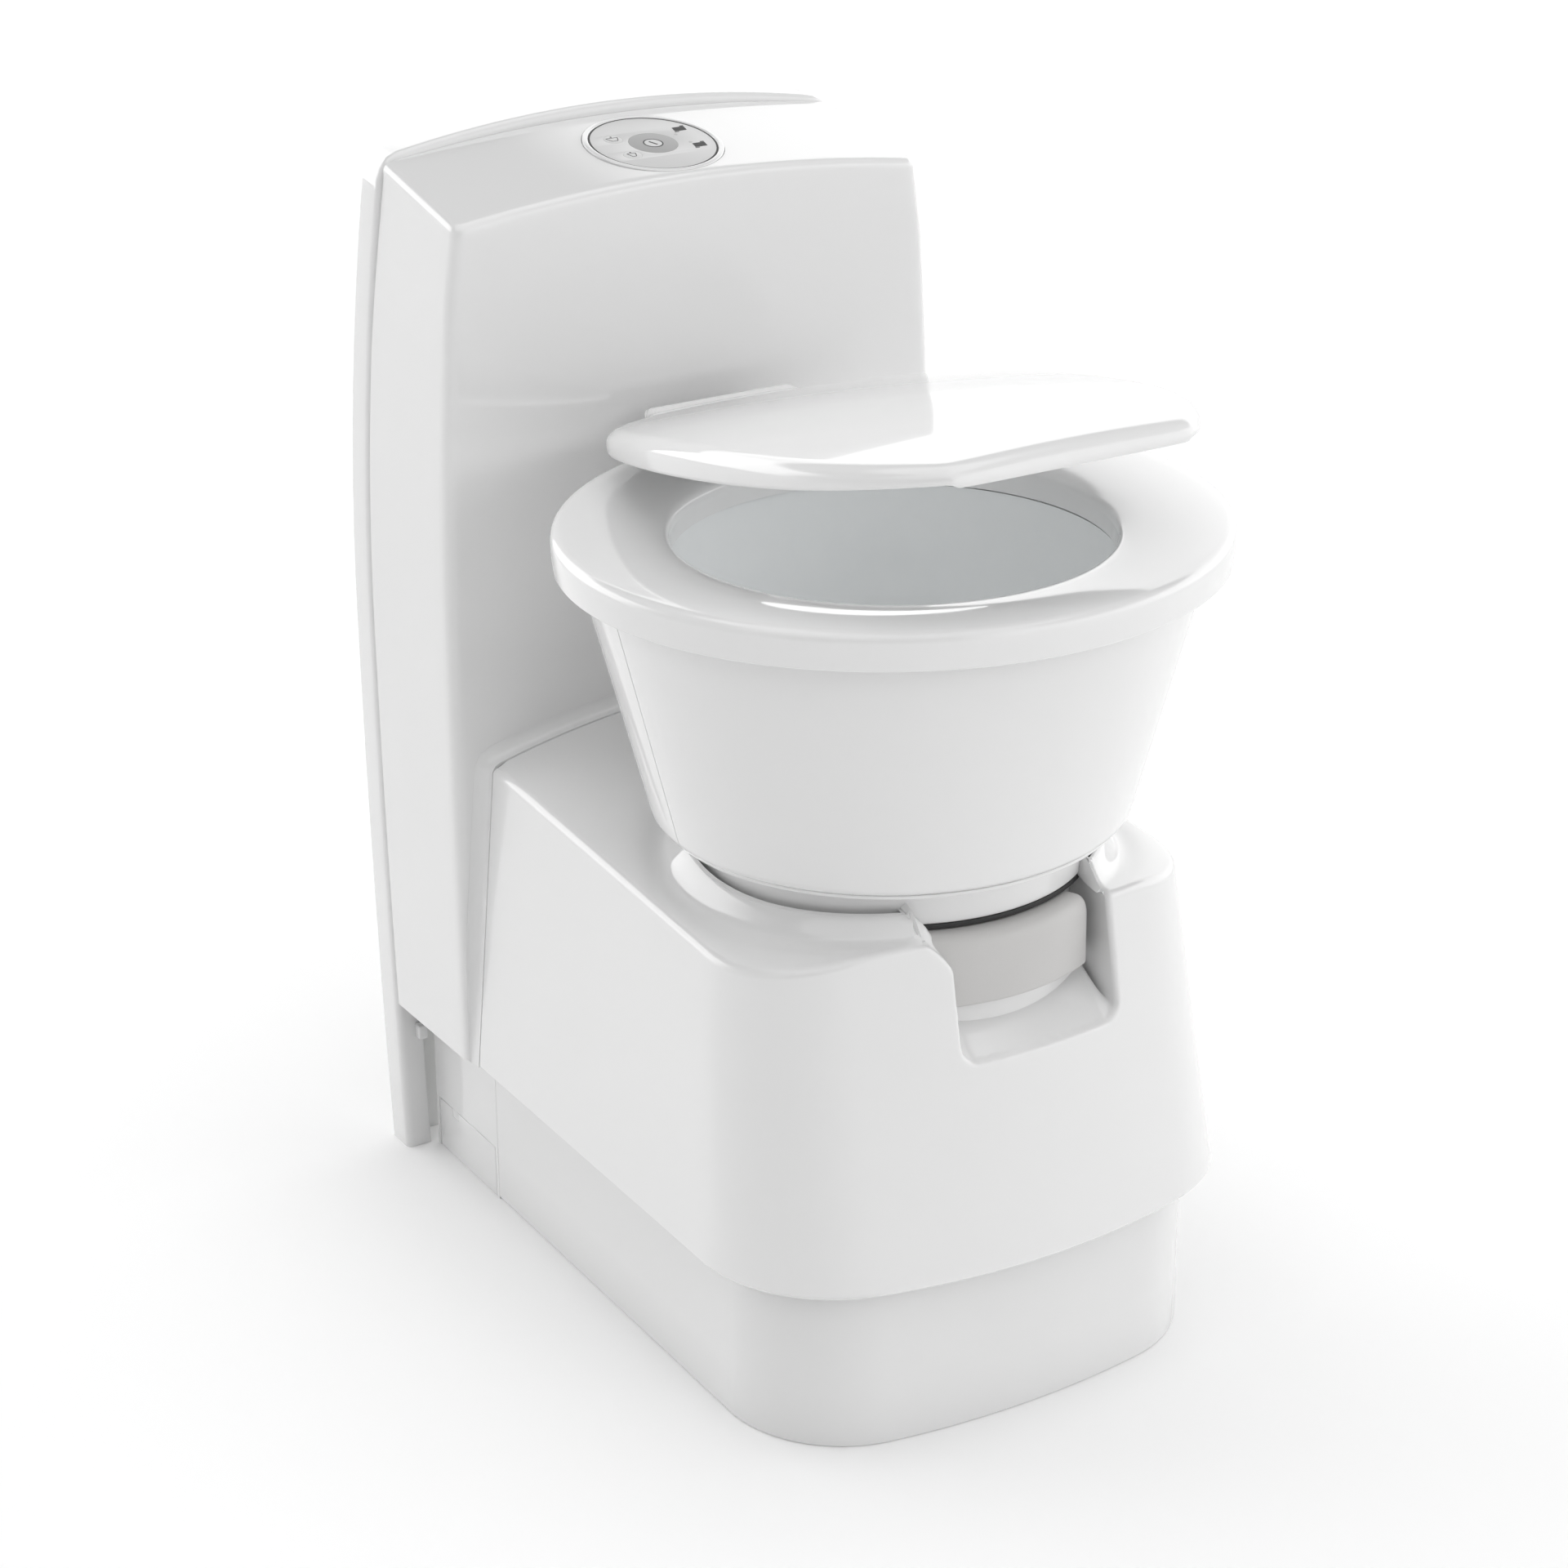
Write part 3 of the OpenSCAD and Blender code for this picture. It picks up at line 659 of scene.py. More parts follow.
def roofed(path, side, wall_z, top, half, radius, target, rows, fillet=7):
    """Rows of a cover: up its wall, over a fillet onto the top, then across the top towards the target points.
    half(y, z) gives the half width at a point, as a share of which the path's x is drawn."""
    base = np.abs(path[:, 0]).max()
    out = []
    for z in wall_z:
        out.append(np.stack([path[:, 0] * half(path[:, 1], z) / base, path[:, 1], np.full(len(path), z)], 1))
    edge_z = top(path[:, 0], path[:, 1]) - radius
    low = wall_z[-1]
    for t in np.linspace(0, 1, rows[0] + 1)[1:]:
        z = low + (edge_z - low) * t
        out.append(np.stack([path[:, 0] * half(path[:, 1], z) / base, path[:, 1], z], 1))
    rim = out[-1][:, :2]
    for angle in np.linspace(0, math.pi / 2, fillet + 1)[1:]:
        at = rim + side * radius * (1 - math.cos(angle))
        z = top(at[:, 0], at[:, 1]) - radius + radius * math.sin(angle)
        out.append(np.column_stack([at, z]))
    shoulder = out[-1][:, :2]
    for t in np.linspace(0, 1, rows[1] + 1)[1:]:
        at = shoulder + (target - shoulder) * t
        out.append(np.column_stack([at, top(at[:, 0], at[:, 1])]))
    return np.array(out)


def panel_frame(points):
    """Puts points given about the middle of the control panel's face in place, tilted with the tower's top."""
    tilt = math.atan(TOWER_SLOPE)
    x, y, z = np.moveaxis(np.asarray(points, float), -1, 0)
    rise = TOWER_FRONT_TOP + (PANEL_Y - TOWER_FRONT) * TOWER_SLOPE
    return np.stack([x, PANEL_Y + y * math.cos(tilt) - z * math.sin(tilt),
                     rise + y * math.sin(tilt) + z * math.cos(tilt)], -1)


panel_low, panel_high = extent("control_bezel")
PANEL_Y = -75.0
PANEL_R = (panel_high[0] - panel_low[0]) / 2


def make_tower():
    """The tower's shell, with a round hole for the panel."""
    base = 180.0
    steps = 9
    corners = [(-base, TOWER_REAR), (-base, TOWER_FRONT), (base, TOWER_FRONT), (base, TOWER_REAR)]
    plan = rounded(corners, [9, 9], steps)
    left = np.linspace(plan[0], plan[1], 14, endpoint=False)
    front = np.linspace(plan[steps + 1], plan[steps + 2], 90, endpoint=False)
    right = np.linspace(plan[-2], plan[-1], 14)
    path = np.vstack([left, plan[1:steps + 2], front[1:], plan[steps + 2:-1], right[1:]])
    side = inward(path)
    share = np.linspace(-1, 1, len(path))
    target = np.stack([share * 158, np.full(len(path), TOWER_REAR)], 1)
    wall_z = np.concatenate([[SKIRT_Z], np.linspace(SKIRT_Z + 2, 655, 50)])
    points = roofed(path, side, wall_z, tower_top, tower_half, 5.0, target, (6, 26))
    shell = thicken(surface("tower_shell", points), 2.8)
    settle(shell)
    count = 96
    ring = circle(PANEL_R + 0.35, count=count)
    drum = panel_frame(np.stack([np.column_stack([ring, np.full(count, height)]) for height in (-12.0, 12.0)]))
    index = np.arange(2 * count).reshape(2, count)
    faces = grid_faces(2, count, around=True).tolist() + [index[0, ::-1].tolist(), index[1].tolist()]
    cut(shell, make_object("plug", drum, faces))
    piece(shell, "housing", "white_gloss", "tower_cover", sharp=40)


make_tower()


# ------------------------------------------------------------------ saddle

axis_low, axis_high = extent("neck_ring")
AXIS_Y = (axis_low[1] + axis_high[1]) / 2
SADDLE_TOP = 348.0
SADDLE_HALF = saddle_high[0]
SADDLE_FRONT = saddle_low[1]
SADDLE_REAR = TOWER_FRONT - 9.6
COVE_R = 9.0
EDGE_R = 5.0
TIP_Z = 360.0
NECK_HOLE_R = 127.0
SADDLE_CROWN = 1150.0


def saddle_plan(z):
    """Half width, front, corner radius and front bow of the saddle, all straight lines of the height."""
    t = (z - SKIRT_Z) / (TIP_Z - SKIRT_Z)
    return (SADDLE_HALF - 22 * t, SADDLE_FRONT + 48 * t, 92 - 22 * t, 431 - 36 * t)


def plan_points(shape, share, rear):
    """Plan of the saddle or plinth, from rear left round the front to rear right: share 0-1 is the left side,
    1-2 its corner, 2-3 the bowed front, 3-4 the other corner and 4-5 the right side. The shape is the half
    width, front, corner radius and front bow."""
    half, front, corner, bow = shape
    centre = front + bow
    reach = bow - corner
    yc = centre - math.sqrt(reach ** 2 - (half - corner) ** 2)
    swing = math.atan2(half - corner, centre - yc)
    left = np.stack([np.full_like(share, -half), rear + (yc - rear) * np.clip(share, 0, 1)], 1)
    turn_a = math.pi + (math.pi / 2 - swing) * np.clip(share - 1, 0, 1)
    corner_a = np.stack([corner - half + corner * np.cos(turn_a), yc + corner * np.sin(turn_a)], 1)
    turn_f = 1.5 * math.pi + swing * (2 * np.clip(share - 2, 0, 1) - 1)
    bowed = np.stack([bow * np.cos(turn_f), centre + bow * np.sin(turn_f)], 1)
    turn_b = 1.5 * math.pi + swing + (math.pi / 2 - swing) * np.clip(share - 3, 0, 1)
    corner_b = np.stack([half - corner + corner * np.cos(turn_b), yc + corner * np.sin(turn_b)], 1)
    right = np.stack([np.full_like(share, half), yc + (rear - yc) * np.clip(share - 4, 0, 1)], 1)
    pick = np.clip(np.floor(share), 0, 4).astype(int)
    return np.choose(pick[:, None], [left, corner_a, bowed, corner_b, right])


def saddle_top(x, y):
    """Height of the saddle's top: falling to the front, crowned across, and rising in a cove round the neck."""
    level = SADDLE_TOP + (y - TOWER_FRONT) * math.tan(math.radians(3.6)) - x ** 2 / SADDLE_CROWN
    out = np.hypot(x, y - AXIS_Y)
    cove = 9.5 * (1 - ease(out, NECK_HOLE_R + 0.5, NECK_HOLE_R + 15)) ** 1.3
    moat = -2.2 * np.exp(-((out - NECK_HOLE_R - 17) / 9) ** 2)
    return level + (cove + moat) * ease(-y, 225, 300)


RECESS_FOOT = extent("handle_pocket")[0][2] + 6.5
RECESS_RIGHT = 72.0
RECESS_LEFT = -43.0
RECESS_CORNER = 11.0


def recess_side(x, z):
    """Signed distance to the recess's outline seen from the front, below 0 inside it, and the outline point
    on a ray from the recess's middle: a box with round lower corners, flared to the left near its top."""
    flare = 17 * np.clip((z - 298) / 21, 0, 1) ** 1.5
    left = RECESS_LEFT - flare
    middle = (left + RECESS_RIGHT) / 2
    half = (RECESS_RIGHT - left) / 2
    deep_z = RECESS_FOOT + half

    def distance(px, pz):
        qx = np.abs(px - middle) - (half - RECESS_CORNER)
        qz = np.maximum(deep_z - pz, 0) - (deep_z - RECESS_FOOT - RECESS_CORNER)
        outer = np.hypot(np.maximum(qx, 0), np.maximum(qz, 0))
        return outer + np.minimum(np.maximum(qx, qz), 0) - RECESS_CORNER

    here = distance(x, z)
    origin = np.minimum(np.maximum(deep_z, z), np.where(z > deep_z, z, deep_z))
    far = np.full_like(x, 60.0)
    near = np.ones_like(x)
    for _ in range(30):
        mid = (far + near) / 2
        inside = distance(middle + (x - middle) * mid, origin + (z - origin) * mid) < 0
        near = np.where(inside, mid, near)
        far = np.where(inside, far, mid)
    scale = np.where(here < 0, near, 1.0)
    return here, middle + (x - middle) * scale, origin + (z - origin) * scale


def saddle_front(x, z):
    """The y of the saddle's bowed front face."""
    _, front, _, bow = saddle_plan(z)
    return front + bow - np.sqrt(bow ** 2 - x ** 2)


def saddle_rows(share, rear):
    """Rows of the saddle's skin from its turned-in foot up the walls, over the edge and across to the neck's
    hole, and how many of them are walls. Each column keeps its share of the plan; rear columns close it along
    the tower."""

    def closed_plan(z):
        plan = plan_points(saddle_plan(z), share, SADDLE_REAR)
        return np.vstack([plan, np.linspace(plan[-1], plan[0], rear + 2)[1:-1]])

    levels = np.linspace(SKIRT_Z, 352, 160)
    tall = np.array([closed_plan(z) for z in levels])

    def plan_at(z):
        place = np.clip((z - levels[0]) / (levels[1] - levels[0]), 0, len(levels) - 1.001)
        low = place.astype(int)
        part = (place - low)[:, None]
        column = np.arange(len(z))
        return tall[low, column] * (1 - part) + tall[low + 1, column] * part

    rim_z = np.full(tall.shape[1], 300.0)
    for _ in range(4):
        plan = plan_at(rim_z)
        rim_z = saddle_top(plan[:, 0], plan[:, 1]) - EDGE_R
    first = closed_plan(SKIRT_Z)
    normal = inward(first, closed=True)
    rows = [np.column_stack([first + normal * pull, np.full(len(first), SKIRT_Z + z)])
            for pull, z in ((2.4, -0.2), (0.9, 0.0), (0.0, 1.2))]
    for t in np.concatenate([np.linspace(0.012, 0.5, 20), np.linspace(0.51, 1, 76)]):
        z = SKIRT_Z + (rim_z - SKIRT_Z) * t
        rows.append(np.column_stack([plan_at(z), z]))
    walls = len(rows)
    rim = rows[-1][:, :2]
    normal = inward(rim, closed=True)
    normal[-rear:] = 0
    for angle in np.linspace(0, math.pi / 2, 10)[1:]:
        at = rim + normal * EDGE_R * (1 - math.cos(angle))
        rows.append(np.column_stack([at, saddle_top(at[:, 0], at[:, 1]) - EDGE_R * (1 - math.sin(angle))]))
    shoulder = rows[-1][:, :2]
    reach = shoulder - [0, AXIS_Y]
    target = reach / np.linalg.norm(reach, axis=1)[:, None] * NECK_HOLE_R + [0, AXIS_Y]
    for t in np.concatenate([np.linspace(0, 0.7, 16)[1:], np.linspace(0.7, 1, 14)[1:]]):
        at = shoulder + (target - shoulder) * t
        rows.append(np.column_stack([at, saddle_top(at[:, 0], at[:, 1])]))
    edge = rows[-1]
    for drop, grow in ((0.6, 0.0), (2.0, -0.4), (7.0, -0.4)):
        out = edge.copy()
        out[:, :2] = [0, AXIS_Y] + (edge[:, :2] - [0, AXIS_Y]) * (NECK_HOLE_R + grow) / NECK_HOLE_R
        out[:, 2] -= drop
        rows.append(out)
    return np.array(rows), walls


def make_saddle():
    """The saddle's shell. The recess is pressed into it: near its outline the skin turns in on a small radius,
    and inside the outline it becomes the recess's walls, running straight back."""
    lip = 3.0
    share = np.concatenate([
        np.linspace(0, 1, 26)[:-1], np.linspace(1, 2, 22)[:-1], np.linspace(2, 2.22, 10)[:-1],
        np.linspace(2.22, 2.93, 140)[:-1], np.linspace(2.93, 3, 5)[:-1], np.linspace(3, 4, 22)[:-1],
        np.linspace(4, 5, 26)])
    points, walls = saddle_rows(share, 30)
    into = np.cross(np.roll(points, -1, 1) - np.roll(points, 1, 1), np.gradient(points, axis=0))
    into /= np.maximum(np.linalg.norm(into, axis=2), 1e-9)[..., None]
    if np.mean(into[10, :, 1] * (points[10, :, 1] - AXIS_Y)) > 0:
        into = -into
    x, y, z = (points[..., k] for k in range(3))
    side, ox, oz = recess_side(x, z)
    side = np.where(y < AXIS_Y - 60, side, 50.0)
    depth = lip - np.sqrt(np.maximum(lip ** 2 - (lip - np.clip(side, 0, lip)) ** 2, 0))
    on_wall = z < saddle_top(x, y) - EDGE_R * 0.2
    snapped = np.stack([ox, y, oz], -1)
    low_z = 300.0
    shift = saddle_front(ox, np.minimum(oz, low_z)) - saddle_front(x, np.minimum(z, low_z))
    snapped[..., 1] += np.where(on_wall, shift, 0) - side * 1.15
    climb = (saddle_top(ox, snapped[..., 1]) - saddle_top(ox, y)) * ease(z, 290, 314)
    floor_share = 1 - ease(oz, RECESS_FOOT + 1, RECESS_FOOT + 9)
    snapped[..., 2] += np.where(on_wall, climb, 0) + floor_share * 0.8 * np.clip(-side, 0, 30)
    snapped += into * lip
    moved = np.where((side < 0)[..., None], snapped, points + into * depth[..., None])

    def corners(mask):
        wrap = np.hstack([mask, mask[:, :1]])
        return np.stack([wrap[:-1, :-1], wrap[:-1, 1:], wrap[1:, 1:], wrap[1:, :-1]])

    behind = np.zeros((points.shape[0] - 1, points.shape[1]), bool)
    behind[:walls, len(share) - 1:] = True
    roof_hole = corners(side < -1e-6).all(0) & corners(~on_wall).all(0)
    keep = ~(corners(side < -44).any(0) | roof_hole | behind)
    shell = surface("saddle_shell", moved, around=True, keep=keep)
    thicken(shell, 2.4)
    piece(shell, "housing", "white_gloss", "saddle_cover", "handle_pocket", sharp=42)


make_saddle()


def saddle_section(count):
    """Outline of the saddle where it meets the tower, from the left foot over the roof to the right foot."""
    knee_z = 325.0
    for _ in range(4):
        knee_z = SADDLE_TOP - saddle_plan(knee_z)[0] ** 2 / SADDLE_CROWN
    z = np.linspace(SKIRT_Z, knee_z - EDGE_R, 40)
    left = np.stack([-saddle_plan(z)[0], z], 1)
    wide = saddle_plan(knee_z)[0] - EDGE_R
    x = np.linspace(-wide, wide, 60)
    roof = np.stack([x, SADDLE_TOP - x ** 2 / SADDLE_CROWN], 1)
    knee = np.array([[-saddle_plan(knee_z)[0], knee_z]])
    t = np.linspace(0, 1, 10)[1:-1, None]
    bend = (1 - t) ** 2 * left[-1:] + 2 * t * (1 - t) * knee + t ** 2 * roof[:1]
    return spaced(np.vstack([left, bend, roof, (bend * [-1, 1])[::-1], (left * [-1, 1])[::-1]]), count)


def make_cove():
    """The hollow fillet where the tower's face meets the saddle: a quarter circle carried along the saddle's
    section, its radius shrinking where the tower's face is narrow; its front edge turns in behind the seam."""
    path = saddle_section(180)
    out = inward(path)
    out = np.where(np.sum(out * (path - [0, 200]), axis=1)[:, None] < 0, -out, out)
    room = tower_half(TOWER_FRONT, path[:, 1]) - saddle_plan(path[:, 1])[0]
    reach = np.clip(np.minimum(room - 1.5, COVE_R), 0.8, COVE_R)
    reach = np.where(path[:, 1] > 300, COVE_R, reach)[:, None]
    face_y = TOWER_FRONT + 0.3
    rows = [(path + out * reach * (1 - math.sin(turn)), face_y - COVE_R * (1 - math.cos(turn)))
            for turn in np.linspace(0, math.pi / 2, 11)]
    rows += [(path - out * drop, face_y - COVE_R + back) for drop, back in ((0.5, 0.0), (2.6, 0.2))]
    points = np.array([np.column_stack([at[:, 0], np.full(len(at), y), at[:, 1]]) for at, y in rows])
    cove = thicken(surface("tower_cove", points, flip=False), 0.5)
    settle(cove)
    piece(cove, "housing", "white_gloss", sharp=50)


make_cove()


# ------------------------------------------------------------------ plinth

PLINTH_HALF = plinth_high[0]
PLINTH_FRONT = plinth_low[1]
PLINTH_TOP = plinth_high[2]


def make_plinth():
    """The plinth's front: a wall on the plan's line, its foot slightly rolled in; and its two sides with the
    shallow recess that the service panels sit in."""
    share = np.concatenate([np.linspace(0, 1, 20)[:-1], np.linspace(1, 2, 26)[:-1], np.linspace(2, 3, 40)[:-1],
                            np.linspace(3, 4, 26)[:-1], np.linspace(4, 5, 20)])
    plan = plan_points((PLINTH_HALF, PLINTH_FRONT, 81, 550), share, plinth_high[1])
    side = inward(plan)
    rows = []
    for z, pull in ((0, 2.2), (0.6, 0.9), (2.2, 0), (40, 0), (80, 0), (PLINTH_TOP, 0)):
        rows.append(np.column_stack([plan + side * pull, np.full(len(plan), float(z))]))
    piece(thicken(surface("plinth_front_wall", np.array(rows)), 3), "housing", "white_gloss", "plinth_front")
    low, high = extent("service_panel_right")
    y = np.array([plinth_high[1] + 0.4, low[1] - 0.7, low[1] - 0.3, high[1] + 0.3, high[1] + 0.7, -26.0])
    z = np.array([0.0, high[2] + 0.3, high[2] + 0.7, PLINTH_TOP])
    grid_y, grid_z = np.meshgrid(y, z)
    sunk = (grid_y > low[1] - 0.5) & (grid_y < high[1] + 0.5) & (grid_z < high[2] + 0.5)
    points = np.stack([np.where(sunk, PLINTH_HALF - 1.6, PLINTH_HALF), grid_y, grid_z], -1)
    right = thicken(surface("plinth_side_wall_right", points, flip=False), 1.3)
    settle(right)
    left = mirrored(right, "plinth_side_wall_left")
    piece(right, "housing", "white_gloss", "plinth_side_right")
    piece(left, "housing", "white_gloss", "plinth_side_left")
    cover = rounded_box("service_cover_right", low + [0, 0.1, 0.2], high - [0, 0.1, 0.1], 0.6)
    grip = rounded_box("grip", (high[0] - 0.5, -60, high[2] - 6), (high[0] + 1, -50, high[2] + 2), 1.0)
    cut(cover, grip)
    twin = mirrored(cover, "service_cover_left")
    piece(cover, "housing", "white_gloss", "service_panel_right")
    piece(twin, "housing", "white_gloss", "service_panel_left")
    low, high = extent("cover_latches")
    width = high[0] - 166
    for name, x, nodes in (("cover_latch_right", 166, ["cover_latches"]), ("cover_latch_left", -high[0], [])):
        lug = rounded_box(name, (x, low[1], low[2]), (x + width, high[1], high[2]), 1.4)
        piece(lug, "housing", "white_gloss", *nodes)


make_plinth()


# ------------------------------------------------------------------ bowl

SKIRT_FOOT = axis_high[2] - 3
SKIRT_TOP = extent("bowl_skirt_front")[1][2]


def skirt_station(offset, z):
    """X and Y radius of the bowl's skirt, an ellipse that widens evenly with height, plus an offset."""
    t = (z - SKIRT_FOOT) / (SKIRT_TOP - SKIRT_FOOT)
    return 148.5 + 42 * t + offset, 142.5 + 39 * t + offset


def make_skirt():
    """The skirt's two half shells, their foot turned in on a soft radius."""
    line = rounded([(-22, SKIRT_FOOT), (0, SKIRT_FOOT), (0, SKIRT_TOP)], [7], 8)
    line = np.vstack([line[:-1], np.stack([np.zeros(20), np.linspace(line[-2][1], SKIRT_TOP, 21)[1:]], 1)])
    rx, ry = skirt_station(line[:, 0], line[:, 1])
    profile = np.stack([rx, ry, line[:, 1]], 1)
    seam = 0.12
    front = lathe("bowl_skirt_front_shell", profile, (0, AXIS_Y), 180 + seam, 180 - 2 * seam, 120, closed=False)
    rear = lathe("bowl_skirt_rear_shell", profile, (0, AXIS_Y), seam, 180 - 2 * seam, 120, closed=False)
    piece(thicken(front, 2.8), "bowl", "white_gloss", "bowl_skirt_front")
    thicken(rear, 2.8)
    bridge = rounded_box("bridge", (-62, -178, 482), (62, -146, 500), 4)
    piece(joined("bowl_skirt_rear_cover", rear, bridge), "bowl", "white_gloss", "bowl_skirt_rear")


make_skirt()


def make_neck():
    """The neck: a smooth collar under the skirt with a soft foot and a hollow fillet to its flange, and a thin
    black ring in the gap under the collar that paints the deep shade there.
    """
    ring = rounded([(114, 303.5), (114, 321), (122, 321), (122.6, 340), (128, 345.5), (143, 346.2),
                    (143, 348.6), (84, 348.6), (84, 303.5)], [0.5, 2.5, 4, 4, 0.6, 0.6, 0.5], 6)
    squash = 1 - (1 - 140.5 / 145.5) * ease(ring[:, 0], 124, 143)
    profile = np.stack([ring[:, 0], ring[:, 0] * squash, ring[:, 1]], 1)
    piece(lathe("neck_collar", profile, (0, AXIS_Y), steps=144), "bowl", "white_gloss", "neck_ring")
    # Painted shade: a thin black ring, in the rubber finish, fills the gap between the collar and the handle's
    # top, standing in for the dark shade there.
    shade_ring = rounded([(114.2, 317.8), (121.6, 317.8), (121.6, 320.9), (114.2, 320.9)], [0.6, 0.6], 3)
    piece(lathe("neck_painted_shade_ring", shade_ring, (0, AXIS_Y), steps=144), "bowl", "seal_rubber")


make_neck()

seat_low, seat_high = extent("seat_ring")
SEAT_RX = seat_high[0] + 2.5
SEAT_RY = AXIS_Y - seat_low[1]
HOLE_RX = 134.0
HOLE_RY = 131.0
SEAT_TOP = 532.6
KNUCKLE_R = 7.1
PIN_BORE = 4.15


def knuckle(start, end):
    """The round end of a hinge arm, as points from one angle to another round the pin."""
    angle = np.linspace(start, end, 18)
    return np.stack([HINGE[0] + KNUCKLE_R * np.cos(angle), HINGE[1] + KNUCKLE_R * np.sin(angle)], 1)


def make_seat():
    """The seat ring with its arms and bumpers. The ring's section is a soft crowned band with a deep outer lip,
    dished towards the opening, carried round the outer and inner ellipse together: share 0 is the outer rim
    and 1 the opening."""
    corners = [(0.93, 508.2), (0.93, 525), (0.06, 525), (0.06, 509.6), (0.005, 509.6), (-0.012, 521),
               (0.0, 531.5), (0.17, 532.9), (0.52, 531.4), (0.86, 528.2), (0.985, 525.2), (1.0, 519),
               (1.0, 508.2)]
    radii = [1, 4, 0.6, 1.2, 8, 9, 18, 20, 8, 4, 0.8]
    wide = SEAT_RX - HOLE_RX
    scaled = [(share * wide, z) for share, z in corners]
    line = rounded(scaled, radii, 7)
    share = line[:, 0] / wide
    profile = np.stack([SEAT_RX - share * wide, SEAT_RY - share * (SEAT_RY - HOLE_RY), line[:, 1]], 1)
    ring = lathe("seat_ring_cover", profile, (0, AXIS_Y), steps=180)
    arms = []
    pin_y = HINGE[0]
    for x0 in (34.2, -43.8):
        outline = np.vstack([
            [(pin_y - 30, 527), (pin_y - 30, 531.5), (pin_y - 9, 536)],
            knuckle(2.6, -1.1),
            [(pin_y + 1, 530), (pin_y - 4, 527)]])
        arms.append(plate("arm", [outline, circle(PIN_BORE, HINGE, 32)], x0, x0 + 9.6, 0.7, across="x"))
    piece(joined("seat_ring_with_arms", ring, *arms), "seat", "white_gloss", "seat_ring", material=SEAT_WHITE)
    low, high = extent("seat_bumpers")
    for k, turn in enumerate((35, 145, 215, 325)):
        at = (158 * math.cos(math.radians(turn)), AXIS_Y + 158 * math.sin(math.radians(turn)))
        line = rounded([(1e-7, low[2]), (9, low[2]), (9, high[2]), (1e-7, high[2])], [2.0, 0.5], 4)
        pad = lathe(f"seat_bumper_{k + 1}", line, at, steps=32, closed=False)
        piece(pad, "seat", "seal_rubber", *(["seat_bumpers"] if k == 0 else []))


pin_low, pin_high = extent("hinge_pin")
HINGE = ((pin_low[1] + pin_high[1]) / 2, (pin_low[2] + pin_high[2]) / 2)
make_seat()


def make_inlay():
    """The glazed inlay: a deep bowl turned from a smooth curve, with a stepped rim under the seat."""
    outlet = 42.0
    inner = rounded([(134.5, 507), (133, 497), (131, 480), (127, 448), (116, 416), (86, 400), (58, 392),
                     (outlet, 380), (outlet, 229.6)], [3, 10, 20, 24, 22, 16, 12], 8)
    outer = rounded([(outlet + 4, 229.6), (outlet + 4, 373), (60, 385), (86, 392), (121, 408), (131, 446),
                     (135, 480), (138, 502.6), (172, 502.6), (172, 507)], [8, 10, 12, 12, 12, 5, 2, 0.6], 4)
    profile = np.vstack([inner, outer])
    inlay = lathe("bowl_inlay_glazed", profile, (0, AXIS_Y), steps=144)
    piece(inlay, "bowl", "ceramic", "bowl_inlay", sharp=50)


make_inlay()


# ------------------------------------------------------------------ lid

LID_OPEN = math.radians(11.6)
LID_TOP = 561.5
LID_R = 1600.0
HOOD_R = 10.3
HOOD_HALF = 50.0


def about_hinge(points, angle):
    """Turns points about the hinge pin, positive angles lifting the front."""
    y = points[..., 1] - HINGE[0]
    z = points[..., 2] - HINGE[1]
    out = points.copy()
    out[..., 1] = HINGE[0] + y * math.cos(angle) + z * math.sin(angle)
    out[..., 2] = HINGE[1] - y * math.sin(angle) + z * math.cos(angle)
    return out


def lid_top(x, y):
    """Height of the shut lid's top: a wide sphere that swells into the round hood over the hinge."""
    dome = LID_TOP - LID_R + np.sqrt(LID_R ** 2 - x ** 2 - (y + 350) ** 2)
    hood = HINGE[1] + np.sqrt(np.maximum(HOOD_R ** 2 - (y - HINGE[0]) ** 2, 0.2))
    soft = 1.2
    both = soft * np.logaddexp(dome / soft, hood / soft) - 0.25 * soft
    near = (1 - ease(np.abs(x), HOOD_HALF, HOOD_HALF + 14)) * ease(y, HINGE[0] - 30, HINGE[0] - 6)
    return dome + (both - dome) * near


